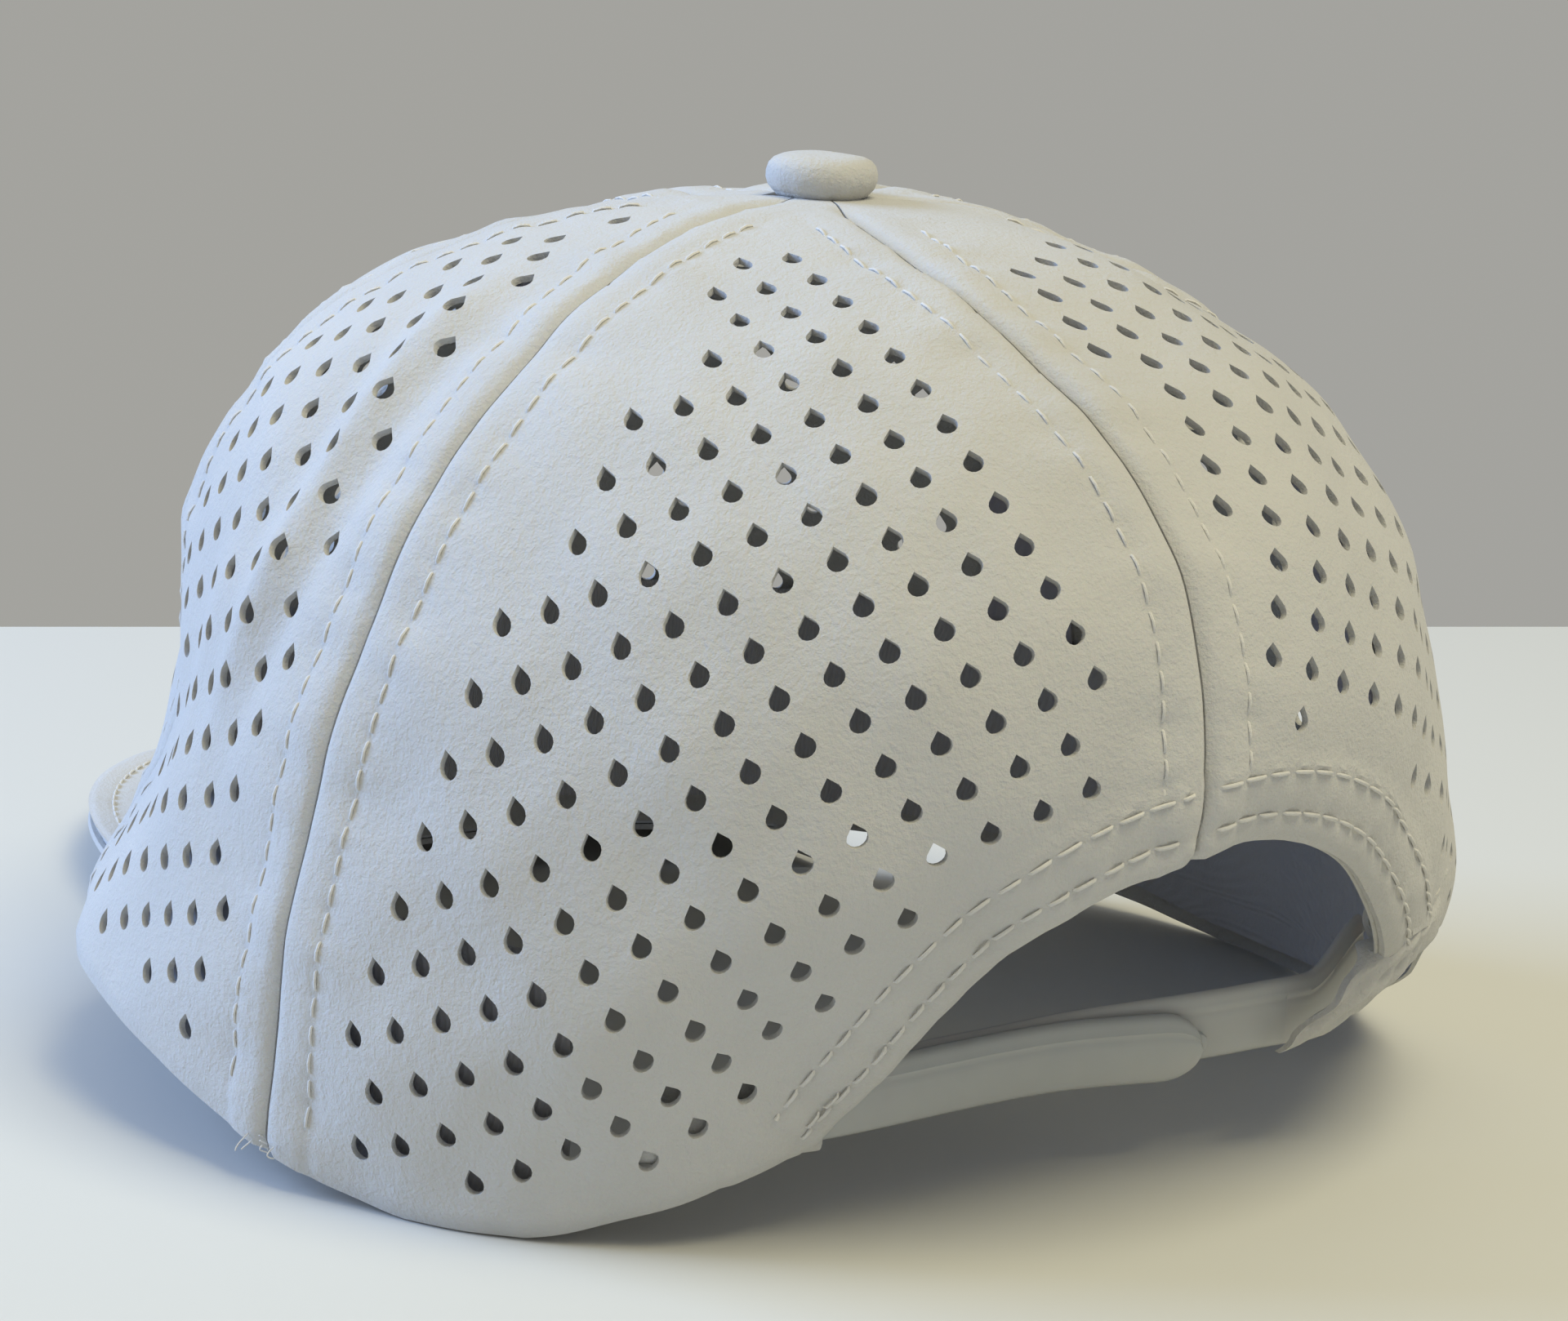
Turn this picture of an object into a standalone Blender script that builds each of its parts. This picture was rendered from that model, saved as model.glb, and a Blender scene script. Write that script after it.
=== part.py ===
"""Six-panel cap with a visor, a rear opening and a two-piece snap strap across it.

Metres, +Z up, visor toward -Y, wearer's left at +X. The cap stands on its rear rim
and on the front edge of its visor, all at Z = 0. Angles run from the back (+Y)
toward the wearer's left (+X); t runs from the crown's top (0) to its rim (1).
"""

import math

import bpy
import bmesh
from mathutils import Vector

# Where the crown's middle stands, with the origin below the middle of the whole cap.
CROWN_PLACE = Vector((0.00032, 0.03659, 0.0))

# Crown, measured on the outside of the cloth.
CROWN_HEIGHT = 0.1138
HALF_WIDTH = 0.0865
BACK_DEPTH = 0.0950
FRONT_DEPTH = 0.0900
PLAN_POWER = 2.0
DOME_POWER = 2.36
DOME_POWER_FRONT = 0.50
DOME_POWER_SIDE = 0.15
APEX_SHIFT_Y = -0.0035
REAR_TUCK = 0.0380
REAR_TUCK_SPAN_LEFT = 48.0
REAR_TUCK_SPAN_RIGHT = 38.0
REAR_TUCK_POWER = 2.6
SIDE_FLARE = 0.0060
SIDE_FLARE_AT = 108.0
SIDE_FLARE_SPAN = 28.0
RIM_LIFT_REAR = 0.0176
RIM_LIFT_REAR_SPAN_LEFT = 46.0
RIM_LIFT_REAR_SPAN_RIGHT = 56.0
RIM_LIFT_SIDE_LEFT = 0.0176
RIM_LIFT_SIDE_RIGHT = 0.0050
RIM_LIFT_SIDE_AT_LEFT = 108.0
RIM_LIFT_SIDE_AT_RIGHT = 126.0
RIM_LIFT_SIDE_SPAN = 29.0
RIM_REST = 0.0026
RIM_LIFT_CORNER = 0.0180
RIM_LIFT_CORNER_AT = -54.0
RIM_LIFT_CORNER_SPAN = 18.0
SIDE_PINCH = 0.0070
SIDE_PINCH_AT = 118.0
SIDE_PINCH_SPAN = 16.0
SIDE_PINCH_T = 0.872
SIDE_PINCH_T_SPAN = 0.115
RIM_LIFT_FRONT = 0.0100

# Seams, in degrees from the back.
REAR_SEAM = 75.5
FRONT_SEAM = 122.0
REAR_SEAM_SWEEP = 4.6
REAR_SEAM_SWEEP_SPAN = 25.0
SEAM_GAP = 0.0004
APEX_HOLE_RADIUS = 0.0030

# Layers, as depths below the outside of the cloth.
CLOTH = 0.0009
TAPE_TOP = 0.0016
TAPE_BOTTOM = 0.0021
TAPE_HALF_WIDTH = 0.0075
TAPE_START = 0.085
BAND_TOP = 0.0024
BAND_BOTTOM = 0.0038
BAND_START = 0.845
BAND_FROM = 49.0

# Rear opening: an arch in angle and t that flares into a foot at each corner.
OPENING_CENTRE = -6.5
OPENING_HALF_ANGLE = 29.0
OPENING_FOOT = 6.0
OPENING_TOP = 0.820
OPENING_POWER_LEFT = 1.2
OPENING_POWER_RIGHT = 1.7
FACING_WIDTH = 0.0140
FACING_REACH = 58.0

# Snap strap.
STRAP_MID_Z = 0.0160
STRAP_HEIGHT = 0.0088
STRAP_THICKNESS = 0.0016
HOLE_STRAP_DEPTH = 0.0045
PEG_STRAP_DEPTH = 0.0066
HOLE_STRAP_ROOT_ANGLE = 21.0
PEG_STRAP_ROOT_ANGLE = -29.0
TAB_SPAN = 15.0
TAB_GAP = 0.0026
TAB_HEIGHT = 0.0125
TAB_RISE_RIGHT = 0.0115
TAB_TOP = 0.0022
TAB_BOTTOM = 0.0066
HOLE_STRAP_TIP_ANGLE = -19.5
PEG_STRAP_TIP_ANGLE = 20.6
PEG_FIRST = 2.6
PEG_PITCH = 0.0080
PEG_COUNT = 8
PEG_RADIUS = 0.0016
PEG_LENGTH = 0.0012
SOCKET_RADIUS = 0.0021
SOCKET_DEPTH = 0.0011

# Visor.
VISOR_ROOT_ANGLE = 145.0
VISOR_HALF_WIDTH = 0.0565
VISOR_ROOT_Y = -0.0720
VISOR_TIP_Y = -0.1535
VISOR_BOARD = 0.0016
VISOR_COVER = 0.0006
VISOR_GAP = 0.00045
VISOR_TILT = 0.0036

# Button.
BUTTON_RADIUS = 0.0072
BUTTON_HEIGHT = 0.0050
BUTTON_WALL = 0.0008
BUTTON_STEM_RADIUS = 0.0015
WASHER_RADIUS = 0.0090
WASHER_HOLE = 0.0020
WASHER_THICKNESS = 0.0008


def clear_scene():
    for obj in list(bpy.data.objects):
        bpy.data.objects.remove(obj, do_unlink=True)


def make_material(name, color, roughness, metallic=0.0):
    material = bpy.data.materials.new(name)
    material.use_nodes = True
    shader = material.node_tree.nodes["Principled BSDF"]
    shader.inputs["Base Color"].default_value = (*color, 1.0)
    shader.inputs["Roughness"].default_value = roughness
    shader.inputs["Metallic"].default_value = metallic
    material.diffuse_color = (*color, 1.0)
    return material


def wrap(degrees):
    return (degrees + 180.0) % 360.0 - 180.0


def rim_height(angle):
    """Height of the crown's rim above the table."""
    from_back = abs(wrap(angle))
    on_left = wrap(angle) > 0
    span = RIM_LIFT_REAR_SPAN_LEFT if on_left else RIM_LIFT_REAR_SPAN_RIGHT
    side_at = RIM_LIFT_SIDE_AT_LEFT if on_left else RIM_LIFT_SIDE_AT_RIGHT
    rear = RIM_LIFT_REAR * math.exp(-((from_back / span) ** 4))
    most = RIM_LIFT_SIDE_LEFT if on_left else RIM_LIFT_SIDE_RIGHT
    side = most * math.exp(-(((from_back - side_at) / RIM_LIFT_SIDE_SPAN) ** 2))
    front = RIM_LIFT_FRONT * max(0.0, -math.cos(math.radians(angle))) ** 2
    return max(0.0, rear + side + front - RIM_REST)


def corner_lift(angle):
    """How far the strap has drawn up the rim behind the wearer's right ear."""
    from_corner = (wrap(angle) - RIM_LIFT_CORNER_AT) / RIM_LIFT_CORNER_SPAN
    return RIM_LIFT_CORNER * math.exp(-(from_corner**2))


def swept(angle, t):
    """The rear side seams bend forward toward the rim, and the cloth with them."""
    from_seam = (abs(wrap(angle)) - REAR_SEAM) / REAR_SEAM_SWEEP_SPAN
    low = max(0.0, (t - 0.4) / 0.6) ** 1.3
    sweep = REAR_SEAM_SWEEP * low * math.exp(-(from_seam**2))
    return angle + math.copysign(sweep, wrap(angle))


def crown_point(angle, t):
    """A point on the outside of the crown."""
    angle = swept(angle, t)
    radians = math.radians(angle)
    s, c = math.sin(radians), math.cos(radians)
    depth = BACK_DEPTH if c > 0 else FRONT_DEPTH
    plan = abs(s / HALF_WIDTH) ** PLAN_POWER + abs(c / depth) ** PLAN_POWER
    radius = plan ** (-1.0 / PLAN_POWER)
    power = DOME_POWER + DOME_POWER_FRONT * max(0.0, -c) + DOME_POWER_SIDE * s * s
    turn = min(max(t, 1e-6), 1.0) * math.pi / 2
    out = math.sin(turn) ** (2.0 / power)
    up = max(math.cos(turn), 0.0) ** (2.0 / power)
    from_back = abs(wrap(angle))
    near_flare = math.exp(-(((from_back - SIDE_FLARE_AT) / SIDE_FLARE_SPAN) ** 2))
    low = min(max((0.55 - up) / 0.55, 0.0), 1.0) ** 2
    tuck_span = REAR_TUCK_SPAN_LEFT if wrap(angle) > 0 else REAR_TUCK_SPAN_RIGHT
    tuck = math.exp(-((from_back / tuck_span) ** 2)) * (1 - up) ** REAR_TUCK_POWER
    pinch = math.exp(-(((wrap(angle) - SIDE_PINCH_AT) / SIDE_PINCH_SPAN) ** 2))
    pinch *= math.exp(-(((t - SIDE_PINCH_T) / SIDE_PINCH_T_SPAN) ** 2)) * (1.0 - t**24)
    reach = radius * out + SIDE_FLARE * near_flare * low
    reach -= REAR_TUCK * tuck + SIDE_PINCH * pinch
    rim = rim_height(angle)
    return Vector(
        (
            reach * s,
            reach * c + APEX_SHIFT_Y * (1 - out),
            rim + (CROWN_HEIGHT - rim) * up + corner_lift(angle) * (1.0 - up) ** 3,
        )
    )


def crown_normal(angle, t):
    high = max(t - 0.004, 0.002)
    low = min(t + 0.004, 1.0)
    across = crown_point(angle + 0.5, t) - crown_point(angle - 0.5, t)
    down = crown_point(angle, low) - crown_point(angle, high)
    return across.cross(down).normalized()


def skin(angle, t, depth):
    """A point this far below the outside of the crown."""
    return crown_point(angle, t) - crown_normal(angle, t) * depth


def t_at_height(angle, height):
    low, high = 0.05, 1.0
    for _ in range(40):
        middle = (low + high) / 2
        if crown_point(angle, middle).z > height:
            low = middle
        else:
            high = middle
    return (low + high) / 2


def spread(start, end, count):
    return [start + (end - start) * k / (count - 1) for k in range(count)]


def new_object(name, mesh_builder, material):
    """An object from a mesh built about the crown's middle, moved to the part's origin."""
    bmesh.ops.translate(mesh_builder, verts=mesh_builder.verts, vec=CROWN_PLACE)
    mesh_builder.normal_update()
    bmesh.ops.recalc_face_normals(mesh_builder, faces=mesh_builder.faces)
    mesh = bpy.data.meshes.new(name)
    mesh_builder.to_mesh(mesh)
    mesh_builder.free()
    obj = bpy.data.objects.new(name, mesh)
    bpy.context.scene.collection.objects.link(obj)
    mesh.materials.append(material)
    return obj


def shell(name, outer, inner, material):
    """A solid between two grids of points with the same rows and columns."""
    builder = bmesh.new()
    grids = []
    for grid in (outer, inner):
        grids.append([[builder.verts.new(point) for point in row] for row in grid])
    top, bottom = grids
    rows, columns = len(top), len(top[0])
    for i in range(rows - 1):
        for j in range(columns - 1):
            for sheet, order in ((top, 1), (bottom, -1)):
                a, b = sheet[i][j], sheet[i + 1][j]
                c, d = sheet[i + 1][j + 1], sheet[i][j + 1]
                builder.faces.new((a, b, c)[::order])
                builder.faces.new((a, c, d)[::order])
    ring = [(0, j) for j in range(columns)]
    ring += [(i, columns - 1) for i in range(1, rows)]
    ring += [(rows - 1, j) for j in range(columns - 2, -1, -1)]
    ring += [(i, 0) for i in range(rows - 2, 0, -1)]
    for k, (i, j) in enumerate(ring):
        m, n = ring[(k + 1) % len(ring)]
        builder.faces.new((top[i][j], top[m][n], bottom[m][n], bottom[i][j]))
    return new_object(name, builder, material)


def revolve(name, profile, centre, material, steps=32):
    """A closed (radius, height) profile turned round a vertical axis."""
    builder = bmesh.new()
    rings = []
    for radius, height in profile:
        if radius < 1e-7:
            rings.append([builder.verts.new(centre + Vector((0, 0, height)))] * steps)
            continue
        ring = []
        for k in range(steps):
            turn = 2 * math.pi * k / steps
            offset = Vector((radius * math.cos(turn), radius * math.sin(turn), height))
            ring.append(builder.verts.new(centre + offset))
        rings.append(ring)
    for a, b in zip(rings, rings[1:] + rings[:1]):
        for k in range(steps):
            corners = [a[k], a[(k + 1) % steps], b[(k + 1) % steps], b[k]]
            corners = list(dict.fromkeys(corners))
            if len(corners) > 2:
                builder.faces.new(corners)
    return new_object(name, builder, material)


def opening_edge(turn, widen=0.0):
    """(angle, t) on the arch of the rear opening, or on one this much wider."""
    half = OPENING_HALF_ANGLE + math.degrees(widen / 0.072)
    rise = 1.0 - OPENING_TOP + widen / 0.150
    foot = math.copysign(OPENING_FOOT * abs(turn / 90.0) ** 6, turn)
    angle = OPENING_CENTRE + half * math.sin(math.radians(turn)) + foot
    power = OPENING_POWER_LEFT if turn > 0 else OPENING_POWER_RIGHT
    return angle, 1.0 - rise * max(0.0, math.cos(math.radians(turn))) ** power


def panel_columns(start, end, side):
    """(angle, lowest t) down a panel's columns, along the arch where there is one."""
    if start == 0.0:
        middle = -side * math.degrees(math.asin(OPENING_CENTRE / OPENING_HALF_ANGLE))
        edges = [opening_edge(side * turn) for turn in spread(middle, 90.0, 14)]
        columns = [(side * angle, t) for angle, t in edges]
        columns[0] = (0.0, columns[0][1])
        columns += [(angle, 1.0) for angle in spread(columns[-1][0], end, 8)[1:]]
    else:
        count = 9 if end - start < 50 else 11
        columns = [(angle, 1.0) for angle in spread(start, end, count)]
    return columns


def panel(name, start, end, side, material, rows=28):
    """One crown panel between two seams; side -1 mirrors it to the wearer's right."""
    columns = panel_columns(start, end, side)
    first, last = columns[0][0], columns[-1][0]
    outer, inner = [], []
    for k in range(rows):
        share = k / (rows - 1)
        outer_row, inner_row = [], []
        for angle, lowest in columns:
            apex_t = 0.028
            t = apex_t + (lowest - apex_t) * share
            radius = max(crown_point(angle, t).xy.length, APEX_HOLE_RADIUS)
            trim = math.degrees(SEAM_GAP / 2 / radius)
            place = min(max(angle, first + trim), last - trim)
            outer_row.append(skin(side * place, t, 0.0))
            inner_row.append(skin(side * place, t, CLOTH))
        outer.append(outer_row)
        inner.append(inner_row)
    for outside, inside in zip(outer[-1], inner[-1]):
        inside.z = outside.z
    return shell(name, outer, inner, material)


def seam_tape(name, angle, end_t, material, rows=21):
    """A strip sewn over a seam on the inside."""
    outer, inner = [], []
    for t in spread(TAPE_START, end_t, rows):
        radius = crown_point(angle, t).xy.length
        half = math.degrees(TAPE_HALF_WIDTH / radius)
        half = min(half, 21.5)
        across = spread(angle - half, angle + half, 4)
        outer.append([skin(place, t, TAPE_TOP) for place in across])
        inner.append([skin(place, t, TAPE_BOTTOM) for place in across])
    return shell(name, outer, inner, material)


def sweatband(material):
    """The band inside the rim, from one side of the opening round to the other."""
    outer, inner = [], []
    for angle in spread(BAND_FROM, 360.0 - BAND_FROM, 41):
        heights = spread(BAND_START, 0.985, 4)
        outer.append([skin(angle, t, BAND_TOP) for t in heights])
        inner.append([skin(angle, t, BAND_BOTTOM) for t in heights])
    return shell("sweatband", outer, inner, material)


def opening_facing(material):
    """The folded hem behind the arch of the rear opening."""
    outer, inner = [], []
    for turn in spread(-FACING_REACH, FACING_REACH, 19):
        across = [opening_edge(turn, widen) for widen in spread(0.0, FACING_WIDTH, 4)]
        outer.append([skin(angle, t, TAPE_TOP) for angle, t in across])
        inner.append([skin(angle, t, TAPE_BOTTOM) for angle, t in across])
    return shell("opening_facing", outer, inner, material)


def strap_place(angle, depth):
    """A point at the strap's mid height, this far in from the outside of the cloth."""
    t = t_at_height(angle, STRAP_MID_Z)
    ahead = crown_point(angle + 1.0, t_at_height(angle + 1.0, STRAP_MID_Z))
    behind = crown_point(angle - 1.0, t_at_height(angle - 1.0, STRAP_MID_Z))
    along = (ahead - behind).normalized()
    inward = Vector((-along.y, along.x, 0.0)).normalized()
    here = crown_point(angle, t)
    if inward.dot(Vector((0.0, -1.0, 0.0))) < 0:
        inward = -inward
    return Vector((here.x, here.y, STRAP_MID_Z)) + inward * depth, along, inward


def level_place(angle, height, depth):
    """A point at this height, this far in; below the rim it stays under the rim."""
    here = crown_point(angle, t_at_height(angle, height))
    inward = strap_place(angle, 0.0)[2]
    return Vector((here.x, here.y, height)) + inward * depth


def strap_band(name, root_angle, tip_angle, depth, material):
    """A strap half standing on edge, round at its root and with rounded tip corners."""
    half = STRAP_THICKNESS / 2
    outline = []
    for angle in spread(root_angle, tip_angle, 22):
        point, along, inward = strap_place(angle, depth)
        outline.append((point, inward))
    toward_tip = (outline[1][0] - outline[0][0]).normalized()
    outer = [point - inward * half for point, inward in outline]
    inner = [point + inward * half for point, inward in outline]
    root, across = outline[0]
    cap = []
    for turn in (45.0, 90.0, 135.0):
        swing = math.radians(turn)
        cap.append(root + across * half * math.cos(swing) - toward_tip * half * math.sin(swing))
    loop = outer + inner[::-1] + cap
    builder = bmesh.new()
    rise = Vector((0.0, 0.0, STRAP_HEIGHT / 2))
    tip_at = {len(outer) - 1, len(outer)}
    near_tip = {len(outer) - 2, len(outer) + 1}
    rings = []
    for sign in (-1.0, 1.0):
        ring = []
        for k, point in enumerate(loop):
            share = 0.45 if k in tip_at else 0.86 if k in near_tip else 1.0
            ring.append(builder.verts.new(point + rise * sign * share))
        rings.append(ring)
    low, high = rings
    count = len(loop)
    for k in range(count):
        builder.faces.new((low[k], low[(k + 1) % count], high[(k + 1) % count], high[k]))
    for ring in (low, high):
        steps = len(outer)
        for k in range(steps - 1):
            a, b = k, k + 1
            c, d = 2 * steps - 2 - k, 2 * steps - 1 - k
            builder.faces.new((ring[a], ring[b], ring[c], ring[d]))
        builder.faces.new((ring[0], ring[2 * steps - 1], *ring[2 * steps :]))
    return new_object(name, builder, material)


def peg(name, angle, depth, radius, start, end):
    """A round peg across the strap, from start to end measured outward."""
    point, _, inward = strap_place(angle, depth)
    outward = -inward
    side = outward.cross(Vector((0, 0, 1)))
    builder = bmesh.new()
    rings = []
    for reach in (start, end):
        ring = []
        for k in range(16):
            turn = 2 * math.pi * k / 16
            offset = side * math.cos(turn) + Vector((0, 0, 1)) * math.sin(turn)
            ring.append(builder.verts.new(point + outward * reach + offset * radius))
        rings.append(ring)
    for k in range(16):
        a, b = rings
        builder.faces.new((a[k], a[(k + 1) % 16], b[(k + 1) % 16], b[k]))
    builder.faces.new(rings[0])
    builder.faces.new(rings[1])
    obj = new_object(name, builder, None)
    obj.hide_render = True
    obj.display_type = "WIRE"
    return obj


def peg_angles():
    """Where the pegs stand, the first one just inside the peg strap's free tip."""
    angles = []
    angle = PEG_STRAP_TIP_ANGLE - PEG_FIRST
    for _ in range(PEG_COUNT):
        angles.append(angle)
        start, _, _ = strap_place(angle, PEG_STRAP_DEPTH)
        step = angle
        while (strap_place(step, PEG_STRAP_DEPTH)[0] - start).length < PEG_PITCH:
            step -= 0.05
        angle = step
    return angles


def add_boolean(obj, other, operation):
    modifier = obj.modifiers.new(other.name, "BOOLEAN")
    modifier.operation = operation
    modifier.solver = "EXACT"
    modifier.object = other


def straps(material):
    """The hole strap from the wearer's left and the peg strap from the right."""
    holes = strap_band(
        "hole_strap", HOLE_STRAP_ROOT_ANGLE, HOLE_STRAP_TIP_ANGLE, HOLE_STRAP_DEPTH, material
    )
    pegs = strap_band(
        "peg_strap", PEG_STRAP_ROOT_ANGLE, PEG_STRAP_TIP_ANGLE, PEG_STRAP_DEPTH, material
    )
    half = STRAP_THICKNESS / 2
    for number, angle in enumerate(peg_angles()):
        stud = peg(
            f"peg_{number}", angle, PEG_STRAP_DEPTH, PEG_RADIUS, 0.0, half + PEG_LENGTH
        )
        add_boolean(pegs, stud, "UNION")
        if angle > HOLE_STRAP_TIP_ANGLE + 2.0:
            cutter = peg(
                f"socket_{number}",
                angle,
                HOLE_STRAP_DEPTH,
                SOCKET_RADIUS,
                -half - 0.001,
                -half + SOCKET_DEPTH,
            )
            add_boolean(holes, cutter, "DIFFERENCE")


def strap_tab(name, root_angle, rise, material):
    """The sewn sleeve that holds a strap's end behind a corner of the opening."""
    outer, inner = [], []
    side = math.copysign(1.0, root_angle)
    start = root_angle + side * math.degrees((STRAP_THICKNESS / 2 + TAB_GAP) / 0.068)
    for share in spread(0.0, 1.0, 7):
        angle = start + (root_angle + side * TAB_SPAN - start) * share
        middle = STRAP_MID_Z + rise * share
        heights = [middle + step for step in spread(-TAB_HEIGHT / 2, TAB_HEIGHT / 2, 5)]
        outer.append([level_place(angle, z, TAB_TOP) for z in heights])
        inner.append([level_place(angle, z, TAB_BOTTOM) for z in heights])
    return shell(name, outer, inner, material)


VISOR_COLUMNS = spread(-1.0, 1.0, 31)


def visor_row(u):
    """The ends of one line across the visor: at the crown, and at the outer rim."""
    angle = 180.0 - (180.0 - VISOR_ROOT_ANGLE) * u
    away = Vector((math.sin(math.radians(angle)), math.cos(math.radians(angle)), 0.0))
    root = crown_point(angle, 1.0) + away * 0.0005
    turn = math.radians(90.0 * u)
    rim = Vector(
        (
            VISOR_HALF_WIDTH * math.sin(turn),
            VISOR_ROOT_Y + (VISOR_TIP_Y - VISOR_ROOT_Y) * math.cos(turn),
            VISOR_BOARD / 2 + VISOR_GAP + VISOR_COVER + VISOR_TILT * (1.0 + math.sin(turn)),
        )
    )
    return root, rim


def visor_point(u, v, inset, lift):
    """A point across the visor; v = 1 is this far in from the rim."""
    root, rim = visor_row(u)
    point = root.lerp(rim, v * (1.0 - inset / (rim - root).length))
    point.z += lift
    return point


def visor_grid(inset, lift, columns, rows=7):
    """A sheet of the visor, this far above its mid surface."""
    return [[visor_point(u, v, inset, lift) for v in spread(0.0, 1.0, rows)] for u in columns]


def visor_cover(inset, lift, rim_inset):
    """A sheet of the visor with one more row, turned over the rim."""
    grid = visor_grid(inset, lift, VISOR_COLUMNS)
    for row, u in zip(grid, VISOR_COLUMNS):
        row.append(visor_point(u, 1.0, rim_inset, math.copysign(0.00015, lift)))
    return grid


def visor(cloth, board):
    half = VISOR_BOARD / 2
    near = half + VISOR_GAP
    far = near + VISOR_COVER
    plate = [visor_grid(0.0022, lift, VISOR_COLUMNS[1:-1]) for lift in (half, -half)]
    shell("visor_board", plate[0], plate[1], board)
    for name, sign in (("visor_top_cover", 1.0), ("visor_under_cover", -1.0)):
        outer = visor_cover(0.0004, sign * far, 0.0)
        inner = visor_cover(0.0010, sign * near, 0.0007)
        shell(name, outer, inner, cloth)


def button(cloth, metal):
    """Cloth-covered button: its cover, the metal shell and stem, and the plate inside."""
    top = Vector((0.0, APEX_SHIFT_Y, CROWN_HEIGHT))
    r, h = BUTTON_RADIUS, BUTTON_HEIGHT
    low = 0.0003
    outside = [(r - 0.0016, low), (r - 0.0004, low + 0.0006), (r, low + h * 0.45)]
    outside += [(r - 0.0006, low + h * 0.78), (r - 0.0022, low + h * 0.95), (0.0, low + h)]
    inside = [(0.0, low + h - BUTTON_WALL), (r - 0.0026, low + h * 0.95 - BUTTON_WALL)]
    inside += [(r - 0.0015, low + h * 0.70), (r - 0.0011, low + h * 0.42)]
    inside += [(r - 0.0018, low + 0.0008), (r - 0.0026, low)]
    revolve("button_cover", outside + inside, top, cloth)
    stem = BUTTON_STEM_RADIUS
    foot = -0.0028
    core = [(0.0, foot), (stem, foot), (stem, low + 0.0012), (r - 0.0024, low + 0.0012)]
    core += [(r - 0.0017, low + h * 0.42), (r - 0.0024, low + h * 0.66)]
    core += [(0.0, low + h - 0.0016)]
    revolve("button_shell", core, top, metal)
    face = -0.0014
    ring = [(WASHER_HOLE, face), (WASHER_RADIUS, face)]
    ring += [(WASHER_RADIUS, face - WASHER_THICKNESS), (WASHER_HOLE, face - WASHER_THICKNESS)]
    revolve("button_washer", ring, top, metal)


def build():
    clear_scene()
    cloth = make_material("white_microfibre", (0.86, 0.87, 0.88), 0.85)
    lining = make_material("white_lining", (0.80, 0.81, 0.83), 0.9)
    board = make_material("visor_board_plastic", (0.75, 0.76, 0.78), 0.6)
    plastic = make_material("white_strap_plastic", (0.88, 0.89, 0.90), 0.4)
    metal = make_material("button_metal", (0.6, 0.61, 0.63), 0.35, 1.0)
    for side, word in ((1, "left"), (-1, "right")):
        panel(f"back_{word}_panel", 0.0, REAR_SEAM, side, cloth)
        panel(f"side_{word}_panel", REAR_SEAM, FRONT_SEAM, side, cloth)
        panel(f"front_{word}_panel", FRONT_SEAM, 180.0, side, cloth)
        seam_tape(f"{word}_rear_seam_tape", side * REAR_SEAM, 0.985, lining)
        seam_tape(f"{word}_front_seam_tape", side * FRONT_SEAM, 0.985, lining)
    seam_tape("front_seam_tape", 180.0, 0.985, lining)
    _, arch_top = opening_edge(0.0, FACING_WIDTH)
    seam_tape("back_seam_tape", 0.0, arch_top - 0.006, lining)
    sweatband(lining)
    opening_facing(cloth)
    straps(plastic)
    strap_tab("left_strap_tab", HOLE_STRAP_ROOT_ANGLE, 0.0, cloth)
    strap_tab("right_strap_tab", PEG_STRAP_ROOT_ANGLE, TAB_RISE_RIGHT, cloth)
    visor(cloth, board)
    button(cloth, metal)


build()
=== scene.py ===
"""Looks for the six-panel snapback cap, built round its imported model.

Metres, +Z up, visor toward -Y, wearer's left at +X. Angles run from the back (+Y)
toward the wearer's left; t runs from the crown's top (0) to its rim (1).
"""

import math

import bpy
import numpy as np
from mathutils import Matrix, Vector, geometry


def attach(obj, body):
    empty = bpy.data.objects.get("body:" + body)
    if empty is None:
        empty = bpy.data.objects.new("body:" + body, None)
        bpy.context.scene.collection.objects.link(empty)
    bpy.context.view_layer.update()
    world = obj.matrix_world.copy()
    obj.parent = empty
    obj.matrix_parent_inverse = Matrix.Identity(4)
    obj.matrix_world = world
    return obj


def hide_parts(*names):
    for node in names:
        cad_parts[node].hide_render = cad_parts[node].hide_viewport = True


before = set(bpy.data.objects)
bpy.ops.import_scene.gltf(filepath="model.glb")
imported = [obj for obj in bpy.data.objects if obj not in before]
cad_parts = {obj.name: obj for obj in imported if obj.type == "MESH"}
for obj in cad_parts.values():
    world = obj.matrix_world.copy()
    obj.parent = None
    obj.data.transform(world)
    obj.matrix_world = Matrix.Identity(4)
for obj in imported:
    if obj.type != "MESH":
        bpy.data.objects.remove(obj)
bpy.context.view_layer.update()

# ---------------------------------------------------------------- driving sizes
CROWN_PLACE = np.array((0.00032, 0.03659, 0.0))
CROWN_HEIGHT = 0.1138
HALF_WIDTH = 0.0865
BACK_DEPTH = 0.0950
FRONT_DEPTH = 0.0900
DOME_POWER = 2.36
DOME_POWER_FRONT = 0.50
DOME_POWER_SIDE = 0.15
APEX_SHIFT_Y = -0.0035
REAR_TUCK = 0.0380
REAR_TUCK_SPAN_LEFT = 48.0
REAR_TUCK_SPAN_RIGHT = 38.0
REAR_TUCK_POWER = 2.6
SIDE_FLARE = 0.0060
SIDE_FLARE_AT = 108.0
SIDE_FLARE_SPAN = 28.0
RIM_LIFT_REAR = 0.0176
RIM_LIFT_REAR_SPAN_LEFT = 46.0
RIM_LIFT_REAR_SPAN_RIGHT = 56.0
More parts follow.
